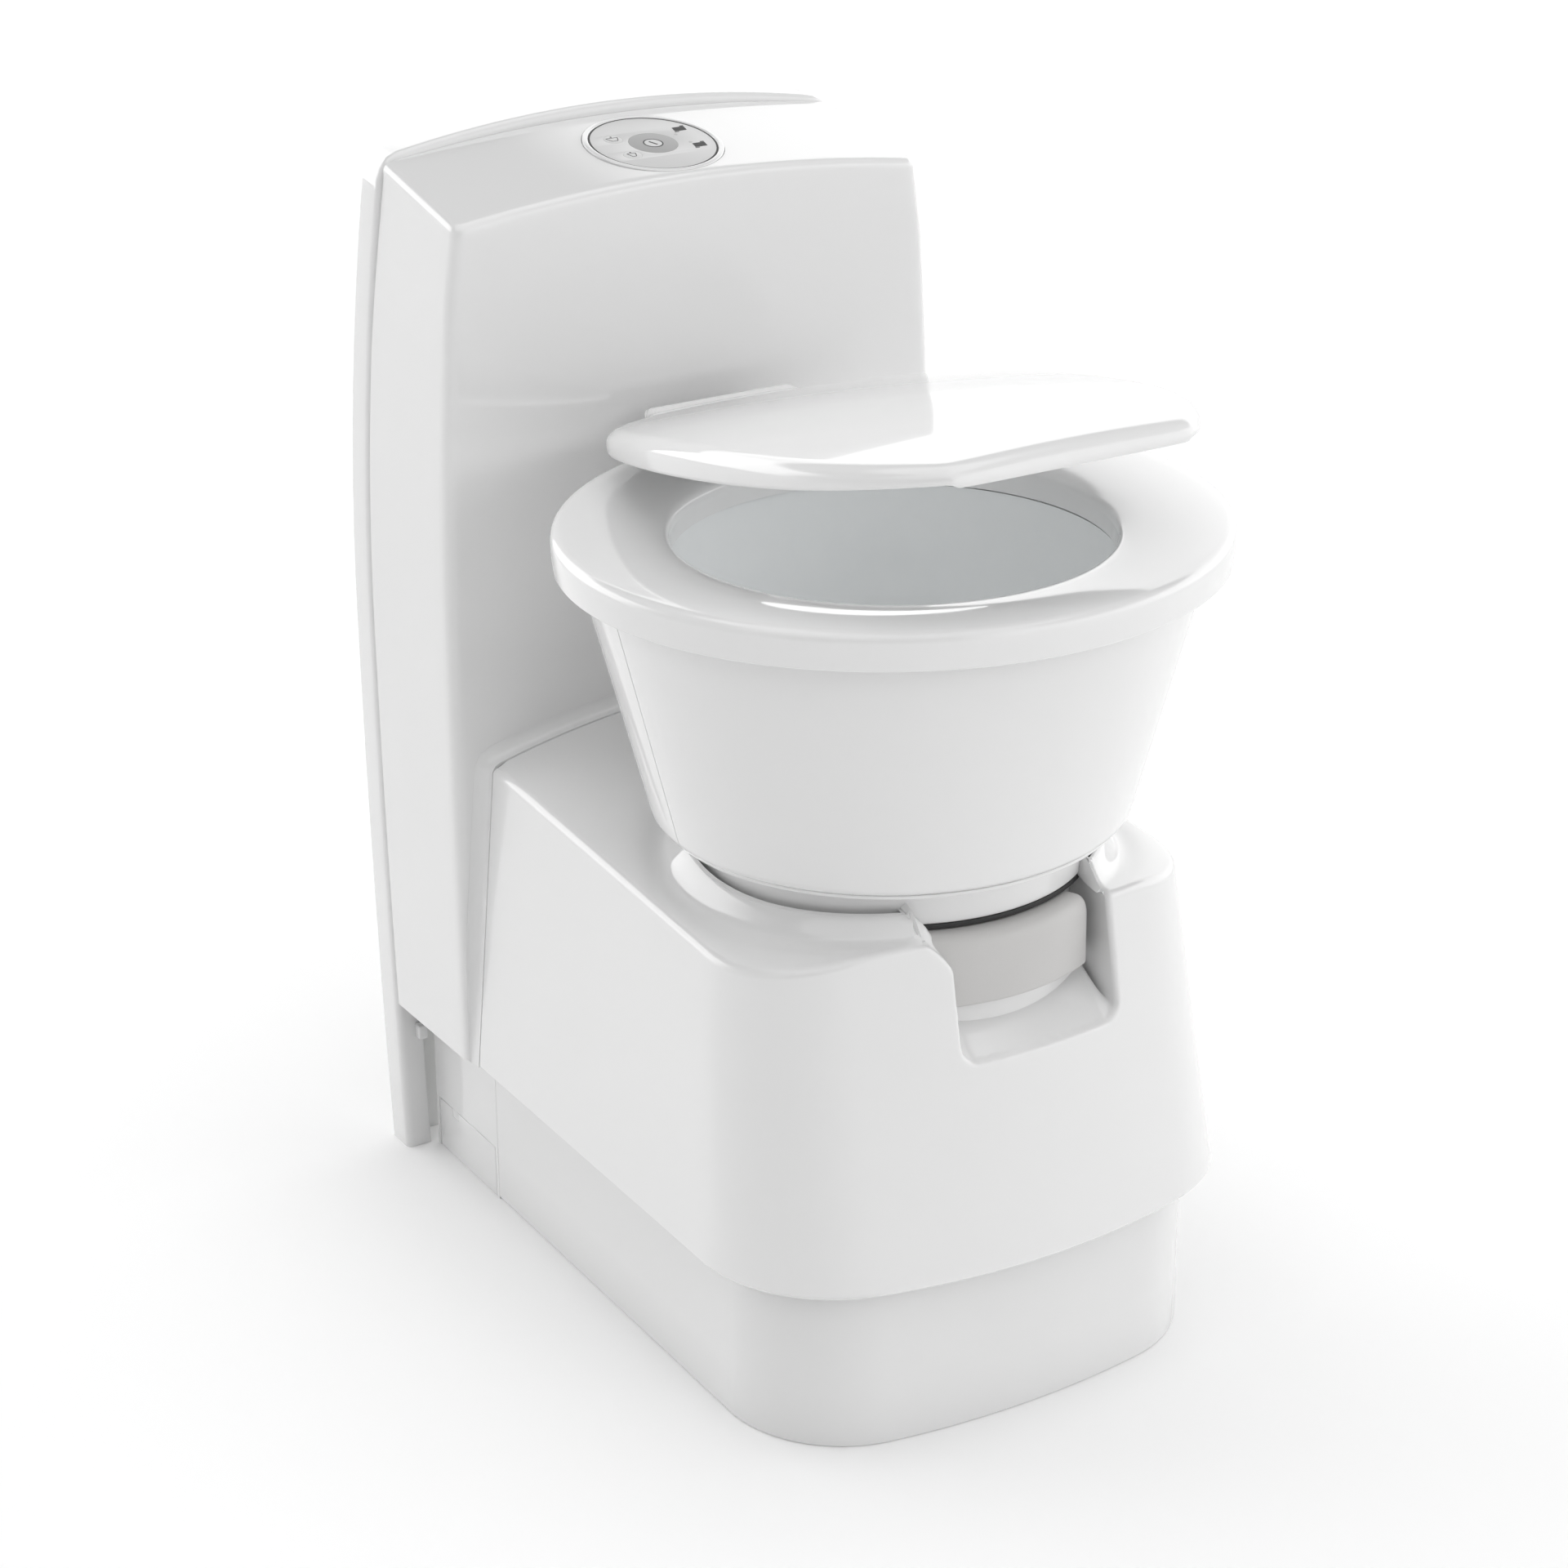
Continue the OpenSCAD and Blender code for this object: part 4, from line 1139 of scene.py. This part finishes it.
def make_lid():
    """The lid: a domed cap on a soft outline with a straight front. Its rim hangs lower along the straight
    front, and ends higher over the hinge, where it is the lip of the hood."""
    half = np.array([(0, -151.5), (44, -151.5), (52, -154), (62, -170), (80, -188), (101, -199), (117, -217),
                     (131, -275), (139, -330), (142, -386), (139, -436), (130, -479), (112, -514), (88, -543),
                     (77, -550), (0, -550)], float)
    outline = np.vstack([half, (half * [-1, 1])[-2:0:-1]])
    outline = spaced(softened(outline, 3), 320, closed=True)[::-1]
    side = inward(outline, closed=True)
    middle = np.array([0.0, -363.0])
    if np.sum(side * (middle - outline)) < 0:
        side = -side
    hood = ease(outline[:, 1], -176, -153)
    front = (1 - ease(np.abs(outline[:, 0]), 76, 82)) * (outline[:, 1] < -500)
    foot = 534.8 + 2.4 * (1 - front) + 12.2 * hood
    slim = 1 - 0.8 * hood
    rows = []
    for inset, rise in ((4.0, 2.0), (3.0, 0.2), (1.2, 0.0), (0.3, 0.9), (0.0, 2.4)):
        at = outline + side * (inset * slim)[:, None]
        rows.append(np.column_stack([at, foot + rise * slim]))
    for angle in np.linspace(0, math.pi / 2, 10)[1:]:
        at = outline + side * (10.5 * slim * (1 - math.cos(angle)))[:, None]
        roof = lid_top(at[:, 0], at[:, 1])
        low = np.maximum(roof - 8.5, foot + 2.4 * slim)
        rows.append(np.column_stack([at, low + (roof - low) * math.sin(angle)]))
    shoulder = rows[-1][:, :2]
    for t in np.concatenate([np.linspace(0, 0.12, 10)[1:], np.linspace(0.12, 0.985, 28)[1:]]):
        at = shoulder + (middle - shoulder) * t
        rows.append(np.column_stack([at, lid_top(at[:, 0], at[:, 1])]))
    peak = np.array([*middle, lid_top(*middle[:, None])[0]])
    rows.append(np.tile(peak, (len(outline), 1)))
    points = about_hinge(np.array(rows), LID_OPEN)
    cap = thicken(surface("cap", points, around=True, weld=True), 2.2)
    settle(cap)
    pin_y, pin_z = HINGE
    arms = []
    for x0 in (8.2, -19.8):
        outline_arm = np.vstack([
            [(pin_y - 20, pin_z - 3), (pin_y - 20, pin_z + 5), (pin_y - 8, pin_z + 6.5)],
            knuckle(1.9, -1.6),
            [(pin_y - 8, pin_z - 5)]])
        arm = plate("arm", [outline_arm, circle(PIN_BORE, HINGE, 32)], x0, x0 + 11.6, 0.7, across="x")
        place = Matrix.Translation((0, WALL_Y + pin_y * MM, pin_z * MM))
        arm.data.transform(place @ Matrix.Rotation(-LID_OPEN, 4, "X") @ place.inverted())
        arms.append(arm)
    piece(joined("lid_cover", cap, *arms), "lid", "white_gloss", "lid_shell", material=SEAT_WHITE)


make_lid()


# ------------------------------------------------------------------ lever and drum

def make_lever():
    """The slide handle: a rounded bar section swept round the swivel axis, its ends drawn in on a radius."""
    low, high = extent("slide_handle")
    outer, inner, step = 136.4, 117.5, 127.2
    foot, top = low[2], high[2] + 1.5
    start, stop = -130.0, -62.0
    count = 90
    end_radius = 5.0
    length = math.radians(stop - start) * outer
    along = np.linspace(0, 1, count) * length
    past = end_radius - np.minimum(along, length - along)
    draw = np.where(past > 0, end_radius - np.sqrt(np.maximum(end_radius ** 2 - past ** 2, 0)), 0)
    angle = np.radians(start) + along / outer
    section = rounded([(inner, 298), (inner, 279), (step, 279), (step, foot), (outer, foot), (outer - 0.6, top),
                       (inner, top), (inner, 298)], [1.0, 0.8, 0.8, 3.0, 12.0, 2.0], 7)[:-1]
    middle = np.array([(inner + outer) / 2, (foot + top) / 2])
    size = np.array([(outer - inner) / 2, (top - foot) / 2])
    scale = (size[None] - draw[:, None]) / size[None]
    local = middle + (section[:, None] - middle) * scale[None]
    points = np.empty((len(section), count, 3))
    points[..., 0] = local[..., 0] * np.cos(angle)
    points[..., 1] = AXIS_Y + local[..., 0] * np.sin(angle)
    points[..., 2] = local[..., 1]
    bar = surface("bar", points, along=True, ends=True)
    web_line = [(104, 290), (inner + 1, 290), (inner + 1, 294), (104, 294)]
    web = lathe("web", web_line, (0, AXIS_Y), start + 1, stop - start - 2, 60)
    piece(joined("slide_handle_bar", bar, web), "lever", "grey_satin", "slide_handle")


make_lever()


def make_drum():
    """The swivel base: a drum with a soft shoulder and a hub."""
    top = extent("swivel_base")[1][2]
    corners = [(60, 232), (126, 232), (126, 276), (99, 276), (99, top), (60, top)]
    line = rounded(corners, [0.5, 3.5, 0.5, 1.0], 6)
    piece(lathe("swivel_drum", line, (0, AXIS_Y), steps=144), "housing", "white_gloss", "swivel_base")


make_drum()


# ------------------------------------------------------------------ control panel

def panel_piece(made):
    """Moves a piece made about the panel's middle onto the panel's face."""
    made.data.transform(Matrix.Translation((0, -WALL_Y, 0)))
    rise = TOWER_FRONT_TOP + (PANEL_Y - TOWER_FRONT) * TOWER_SLOPE
    place = Matrix.Translation((0, WALL_Y + PANEL_Y * MM, rise * MM))
    made.data.transform(place @ Matrix.Rotation(math.atan(TOWER_SLOPE), 4, "X"))
    return made


def rounded_outline(corners, radius=0.8):
    """A closed outline with rounded corners."""
    corners = [tuple(c) for c in corners]
    middle = tuple((np.array(corners[0]) + np.array(corners[-1])) / 2)
    return rounded([middle] + corners + [middle], [radius] * len(corners), 4)[:-1]


def make_panel():
    """Bezel, membrane, keys and their printed signs."""
    edge = PANEL_R
    rim = edge - 4
    line = rounded([(rim - 3, -4), (edge, -4), (edge, 0.55), (rim + 0.6, 0.75), (rim + 0.05, -0.3),
                    (rim + 0.05, -3), (rim - 3, -3)], [0.3, 0.9, 0.8, 0.3, 0.1], 5)
    ring = panel_piece(lathe("panel_bezel", line, steps=128))
    piece(ring, "housing", "white_gloss", "control_bezel")
    holes = [circle(15.95, (0, 0), 72)] + [circle(6.2, (-22, y), 48) for y in (-13, 13)]
    sheet = plate("panel_membrane_sheet", [circle(rim - 0.25, (0, 0), 120)] + holes, -3, 0, 0.1, across="z")
    piece(panel_piece(sheet), "housing", "membrane", "membrane_panel")
    line = [(rim - 1.1, -0.4), (rim - 0.1, -0.4), (rim - 0.1, 0.06), (rim - 1.1, 0.06)]
    piece(panel_piece(lathe("panel_dark_line", line, steps=128)), "housing", "membrane", material=INK)
    for name, body, node, x, y, r, paint in (
            ("power_key_cap", "power_button", "power_key", 0, 0, 15.83, KEY_GREY),
            ("long_flush_key_cap", "flush_long", "flush_key_long", -22, 13, 6.12, MEMBRANE),
            ("short_flush_key_cap", "flush_short", "flush_key_short", -22, -13, 6.12, MEMBRANE)):
        line = rounded([(1e-7, -9.5), (2, -9.5), (2, -4), (r, -4), (r, 0), (1e-7, 0)], [0.3, 0.3, 0.3, 0.15], 4)
        cap = panel_piece(lathe(name, line, (x, y), steps=72, closed=False))
        piece(cap, body, "membrane", node, material=paint)
    low, high = -0.02, 0.07
    ring = plate("ring", [circle(6.6, (0, 0), 64), circle(5.7, (0, 0), 64)], low, high, across="z")
    lean = math.radians(28)
    along = np.array([-math.sin(lean), math.cos(lean)])
    across = np.array([math.cos(lean), math.sin(lean)])
    signs = ((1, 1), (1, -1), (-1, -1), (-1, 1))
    bar = rounded_outline([up * along * 3.3 + out * across * 0.7 for up, out in signs], 0.4)
    stroke = plate("bar", [bar[::-1]], low, high, across="z")
    piece(panel_piece(joined("power_sign", ring, stroke)), "power_button", "membrane", material=INK)
    disc = plate("power_disc", [circle(5.7, (0, 0), 64)], low, high - 0.04, across="z")
    piece(panel_piece(disc), "power_button", "membrane", material=MEMBRANE)
    for k, (x, y) in enumerate(((27.5, 15.5), (27.5, -11.5))):
        marks = []
        for corners, radius in (([(-4.6, -3.0), (4.2, -3.0), (5.0, 3.0), (-3.8, 3.0)], 0.5),
                                ([(2.4, 3.3), (5.2, 3.3), (5.2, 4.4), (2.4, 4.4)], 0.3),
                                ([(-5.2, -4.4), (-2.0, -4.4), (-2.0, -3.5), (-5.2, -3.5)], 0.3)):
            mark = rounded_outline([(x + right, y + up) for right, up in corners], radius)
            marks.append(plate("mark", [mark], low, high, across="z"))
        sign = joined(f"level_sign_{k + 1}", *marks)
        piece(panel_piece(sign), "housing", "membrane", material=INK)
        spot = (x - 6.5 + 3 * k, y + 5.5 - 13 * (1 - k))
        dot = plate(f"level_dot_{k + 1}", [circle(1.2, spot, 24)], low, high, across="z")
        piece(panel_piece(dot), "housing", "membrane", material=PALE_INK)
    for k, (y, body, wide) in enumerate(((13, "flush_long", 4.6), (-13, "flush_short", 3.4))):
        x = -22
        cup = rounded_outline([(x - wide, y + 2.6), (x + wide, y + 2.6), (x + wide * 0.55, y - 2.6),
                               (x - wide * 0.4, y - 2.6)], 0.9)
        hollow = rounded_outline([(x - wide + 0.7, y + 2.15), (x + wide - 0.7, y + 2.15),
                                  (x + wide * 0.55 - 0.4, y - 2.15), (x - wide * 0.4 + 0.4, y - 2.15)], 0.6)
        drop = circle(0.7, (x + 0.3, y + 4.0), 20)
        sign = joined(f"flush_sign_{k + 1}", plate("cup", [cup, hollow], low, high, across="z"),
                      plate("drop", [drop], low, high, across="z"))
        piece(panel_piece(sign), body, "membrane", material=INK)


make_panel()


# ------------------------------------------------------------------ cassette

def make_cassette():
    """The waste cassette's shells, spout, cap, vent, handles and wheels as rounded mouldings."""
    low, high = extent("cassette_tank_lower")
    half = high[0]
    front, rear = low[1], high[1]
    parts = [rounded_box("tank", (-half, front + 49, 18), (half, rear, 111.6), 8),
             rounded_box("nose", (-114, front, 18), (114, front + 60, 111.6), 8),
             rounded_box("nose_top", (-half, front, 56), (half, front + 60, 111.6), 8)]
    for sign in (-1, 1):
        x0, x1 = sorted((sign * 112, sign * half))
        parts.append(rounded_box("skid", (x0, front + 55, 6.5), (x1, rear - 4, 24), 3))
        for y in (-345, -75):
            x0, x1 = sorted((sign * 53, sign * 67))
            parts.append(rounded_box("guide", (x0, y, 7.5), (x1, y + 18, 24), 2))
    for k in range(9):
        y = front + 74 + k * 36
        for sign in (-1, 1):
            x0, x1 = sorted((sign * (half - 2), sign * half))
            parts.append(rounded_box("rib", (x0 + sign * 0.9, y, 34), (x1 + sign * 0.9, y + 14, 98), 0.9, 3))
    piece(joined("cassette_tank_base", *parts), "cassette", "tank_plastic", "cassette_tank_lower")
    low, high = extent("cassette_tank_upper")
    top = high[2]
    parts = [rounded_box("tank", (-half, front, 112), (half, -112, top), 8),
             rounded_box("ledge", (-half, -130, 112), (half, rear, 150), 6),
             rounded_box("seam", (-half, front, 109.5), (half, rear, 114.5), 2.2)]
    for sign in (-1, 1):
        x0, x1 = sorted((sign * 62, sign * 70))
        edge = rounded_outline([(rear - 4, 129), (-9.5, 129), (-9.5, 141), (rear - 4, 141)], 3)[::-1]
        parts.append(plate("lug", [edge, circle(3.2, (-15, 135), 24)], x0, x1, 0.6, across="x"))
    piece(joined("cassette_tank_top", *parts), "cassette", "tank_plastic", "cassette_tank_upper")
    x, y = -95.0, -62.0
    spout_z = 182.0
    line = rounded([(1e-7, 150.3), (24, 150.3), (24, 200), (20, 206), (1e-7, 206)], [0.6, 6, 3], 5)
    foot = lathe("foot", line, (x, y), steps=64, closed=False)
    arm = rod("arm", (x, y, spout_z), (65.4, y, spout_z), 22, 1.2, 64, bore=19)
    piece(joined("pour_spout_arm", foot, arm), "spout", "grey_plastic", "pour_spout")
    angle = ring_angles(96)
    ribs = 24
    grip = 26 - 0.9 * (0.5 + 0.5 * np.cos(angle * ribs)) ** 2
    stations = np.array([(52.2, 0.86), (52.2, 0.97), (53, 1), (68, 1), (69.6, 0.97), (70, 0.9), (70, 0.3),
                         (68.6, 0.25), (68.6, 0.0)])
    points = np.empty((len(stations), len(angle), 3))
    points[..., 0] = stations[:, :1]
    points[..., 1] = y + stations[:, 1:] * grip * np.cos(angle)
    points[..., 2] = spout_z + stations[:, 1:] * grip * np.sin(angle)
    cap = thicken(surface("spout_screw_cap", points, around=True, weld=True), 0.8)
    piece(cap, "cap", "dark_plastic", "spout_cap")
    low, high = extent("vent_button")
    line = rounded([(1e-7, low[2]), (5, low[2]), (5, 156), (9, 156), (9, high[2]), (6.5, high[2]),
                    (5.5, high[2] - 1), (1e-7, high[2] - 1.2)], [0.4, 0.3, 0.3, 1.6, 0.5, 0.5], 4)
    button = lathe("vent_button_cap", line, (100, -62), steps=48, closed=False)
    piece(button, "vent", "grey_plastic", "vent_button")
    bail = [rounded_box("leg", (51, -19, 76), (60, -11, 139), 2.6),
            rounded_box("leg", (-60, -19, 76), (-51, -11, 139), 2.6),
            rounded_box("grip", (-60, -19, 74), (60, -11, 86), 3.6),
            rod("pivot", (60, -15, 135), (69, -15, 135), 3, 0.4),
            rod("pivot", (-69, -15, 135), (-60, -15, 135), 3, 0.4)]
    piece(joined("carry_handle_bail", *bail), "bail", "dark_plastic", "carry_handle")
    pull = [rod("slide", (x, -360, 12.5), (x, -10, 12.5), 3.5, 0.5) for x in (60, -60)]
    pull.append(rounded_box("grip", (-68, -14, 8), (68, -5, 21), 3.4))
    piece(joined("trolley_handle_pull", *pull), "trolley", "dark_plastic", "trolley_handle")
    low, high = extent("wheel_right")
    x0, x1 = low[0], high[0]
    y, z = (low[1] + high[1]) / 2, (low[2] + high[2]) / 2
    profile = rounded([(4.1, x0), (9, x0), (9.6, x0 + 2.5), (15.5, x0 + 2.5), (16.2, x0), (21.5, x0),
                       (21.5, x1), (16.2, x1), (15.5, x1 - 2.5), (9.6, x1 - 2.5), (9, x1), (4.1, x1)],
                      [0.4, 0.6, 0.6, 0.5, 2.5, 2.5, 0.5, 0.6, 0.6, 0.4], 4)
    angle = ring_angles(64)
    points = np.empty((len(profile), len(angle), 3))
    points[..., 0] = profile[:, 1:]
    points[..., 1] = y + profile[:, :1] * np.cos(angle)
    points[..., 2] = z + profile[:, :1] * np.sin(angle)
    right = surface("wheel_right_tread", points, around=True, along=True)
    left = mirrored(right, "wheel_left_tread")
    piece(right, "wheel_r", "dark_plastic", "wheel_right")
    piece(left, "wheel_l", "dark_plastic", "wheel_left")


make_cassette()


# ------------------------------------------------------------------ stage and light

def make_stage():
    """A wide pale floor."""
    reach = 14000.0
    spread = np.array([[(x, y, 0) for x in (-reach, reach)] for y in (-reach, reach)])
    floor = surface("studio_floor", spread, flip=False)
    floor.data.materials.append(studio_floor("studio_floor_white"))


# Brightness of the studio's walls and ceiling, by azimuth in degrees: 0 looks along X, 90 along Y.
WALL_LIGHT = {-121: 0.2, -61: 2.1, -1: 2.7, 59: 2.0, 119: 3.9, 179: 0.5}
CEILING_LIGHT = {-121: 1.4, -1: 0.1, 119: 0.1}
TOP_LIGHT = 2.0
LIGHT_MOST = 6.0


def make_world():
    """A studio of big soft panels: each panel of the walls and the ceiling's rim covers its share of the
    azimuth, with a soft step to the next, and the ceiling's middle is even."""
    world = bpy.data.worlds.new("studio")
    bpy.context.scene.world = world
    world.use_nodes = True
    tree = world.node_tree
    tree.nodes.clear()

    def math_node(operation, *values):
        node = tree.nodes.new("ShaderNodeMath")
        node.operation = operation
        for k, value in enumerate(values):
            if isinstance(value, bpy.types.NodeSocket):
                tree.links.new(value, node.inputs[k])
            else:
                node.inputs[k].default_value = value
        return node.outputs[0]

    def panels(levels, azimuth):
        ramp = tree.nodes.new("ShaderNodeValToRGB")
        half = 180 / len(levels) - 9
        stops = [((centre + side * half) / 360 + 0.5, level)
                 for centre, level in levels.items() for side in (-1, 1)]
        stops = sorted((place % 1, level / LIGHT_MOST) for place, level in stops)
        while len(ramp.color_ramp.elements) < len(stops):
            ramp.color_ramp.elements.new(0.5)
        for stop, (place, level) in zip(ramp.color_ramp.elements, stops):
            stop.position = place
            stop.color = (level, level, level, 1)
        tree.links.new(azimuth, ramp.inputs[0])
        return ramp.outputs[0]

    def blend(height, low, high, below, above):
        share = tree.nodes.new("ShaderNodeMapRange")
        share.inputs["From Min"].default_value = low
        share.inputs["From Max"].default_value = high
        tree.links.new(height, share.inputs["Value"])
        upper = math_node("MULTIPLY", share.outputs[0], above)
        rest = math_node("SUBTRACT", 1.0, share.outputs[0])
        return math_node("ADD", upper, math_node("MULTIPLY", rest, below))

    where = tree.nodes.new("ShaderNodeTexCoord")
    split = tree.nodes.new("ShaderNodeSeparateXYZ")
    tree.links.new(where.outputs["Generated"], split.inputs[0])
    x, y, z = split.outputs
    azimuth = math_node("ADD", math_node("DIVIDE", math_node("ARCTAN2", y, x), TURN), 0.5)
    rim = blend(z, 0.52, 0.58, panels(WALL_LIGHT, azimuth), panels(CEILING_LIGHT, azimuth))
    level = blend(z, 0.82, 0.88, rim, TOP_LIGHT / LIGHT_MOST)
    back = tree.nodes.new("ShaderNodeBackground")
    tree.links.new(math_node("MULTIPLY", level, LIGHT_MOST), back.inputs["Strength"])
    out = tree.nodes.new("ShaderNodeOutputWorld")
    tree.links.new(back.outputs[0], out.inputs[0])


def light_bowl():
    """A small soft light between the lid and the bowl, which opens up the shade in the bowl."""
    data = bpy.data.lights.new("bowl_light", "AREA")
    data.shape = "ELLIPSE"
    data.size = 0.14
    data.size_y = 0.10
    data.energy = 0.06
    lamp = placed("bowl_light", data)
    lamp.location = (0.0, WALL_Y + (AXIS_Y + 20) * MM, (SEAT_TOP + 22) * MM)


make_stage()
make_world()
light_bowl()
bpy.context.scene.view_settings.view_transform = "Standard"
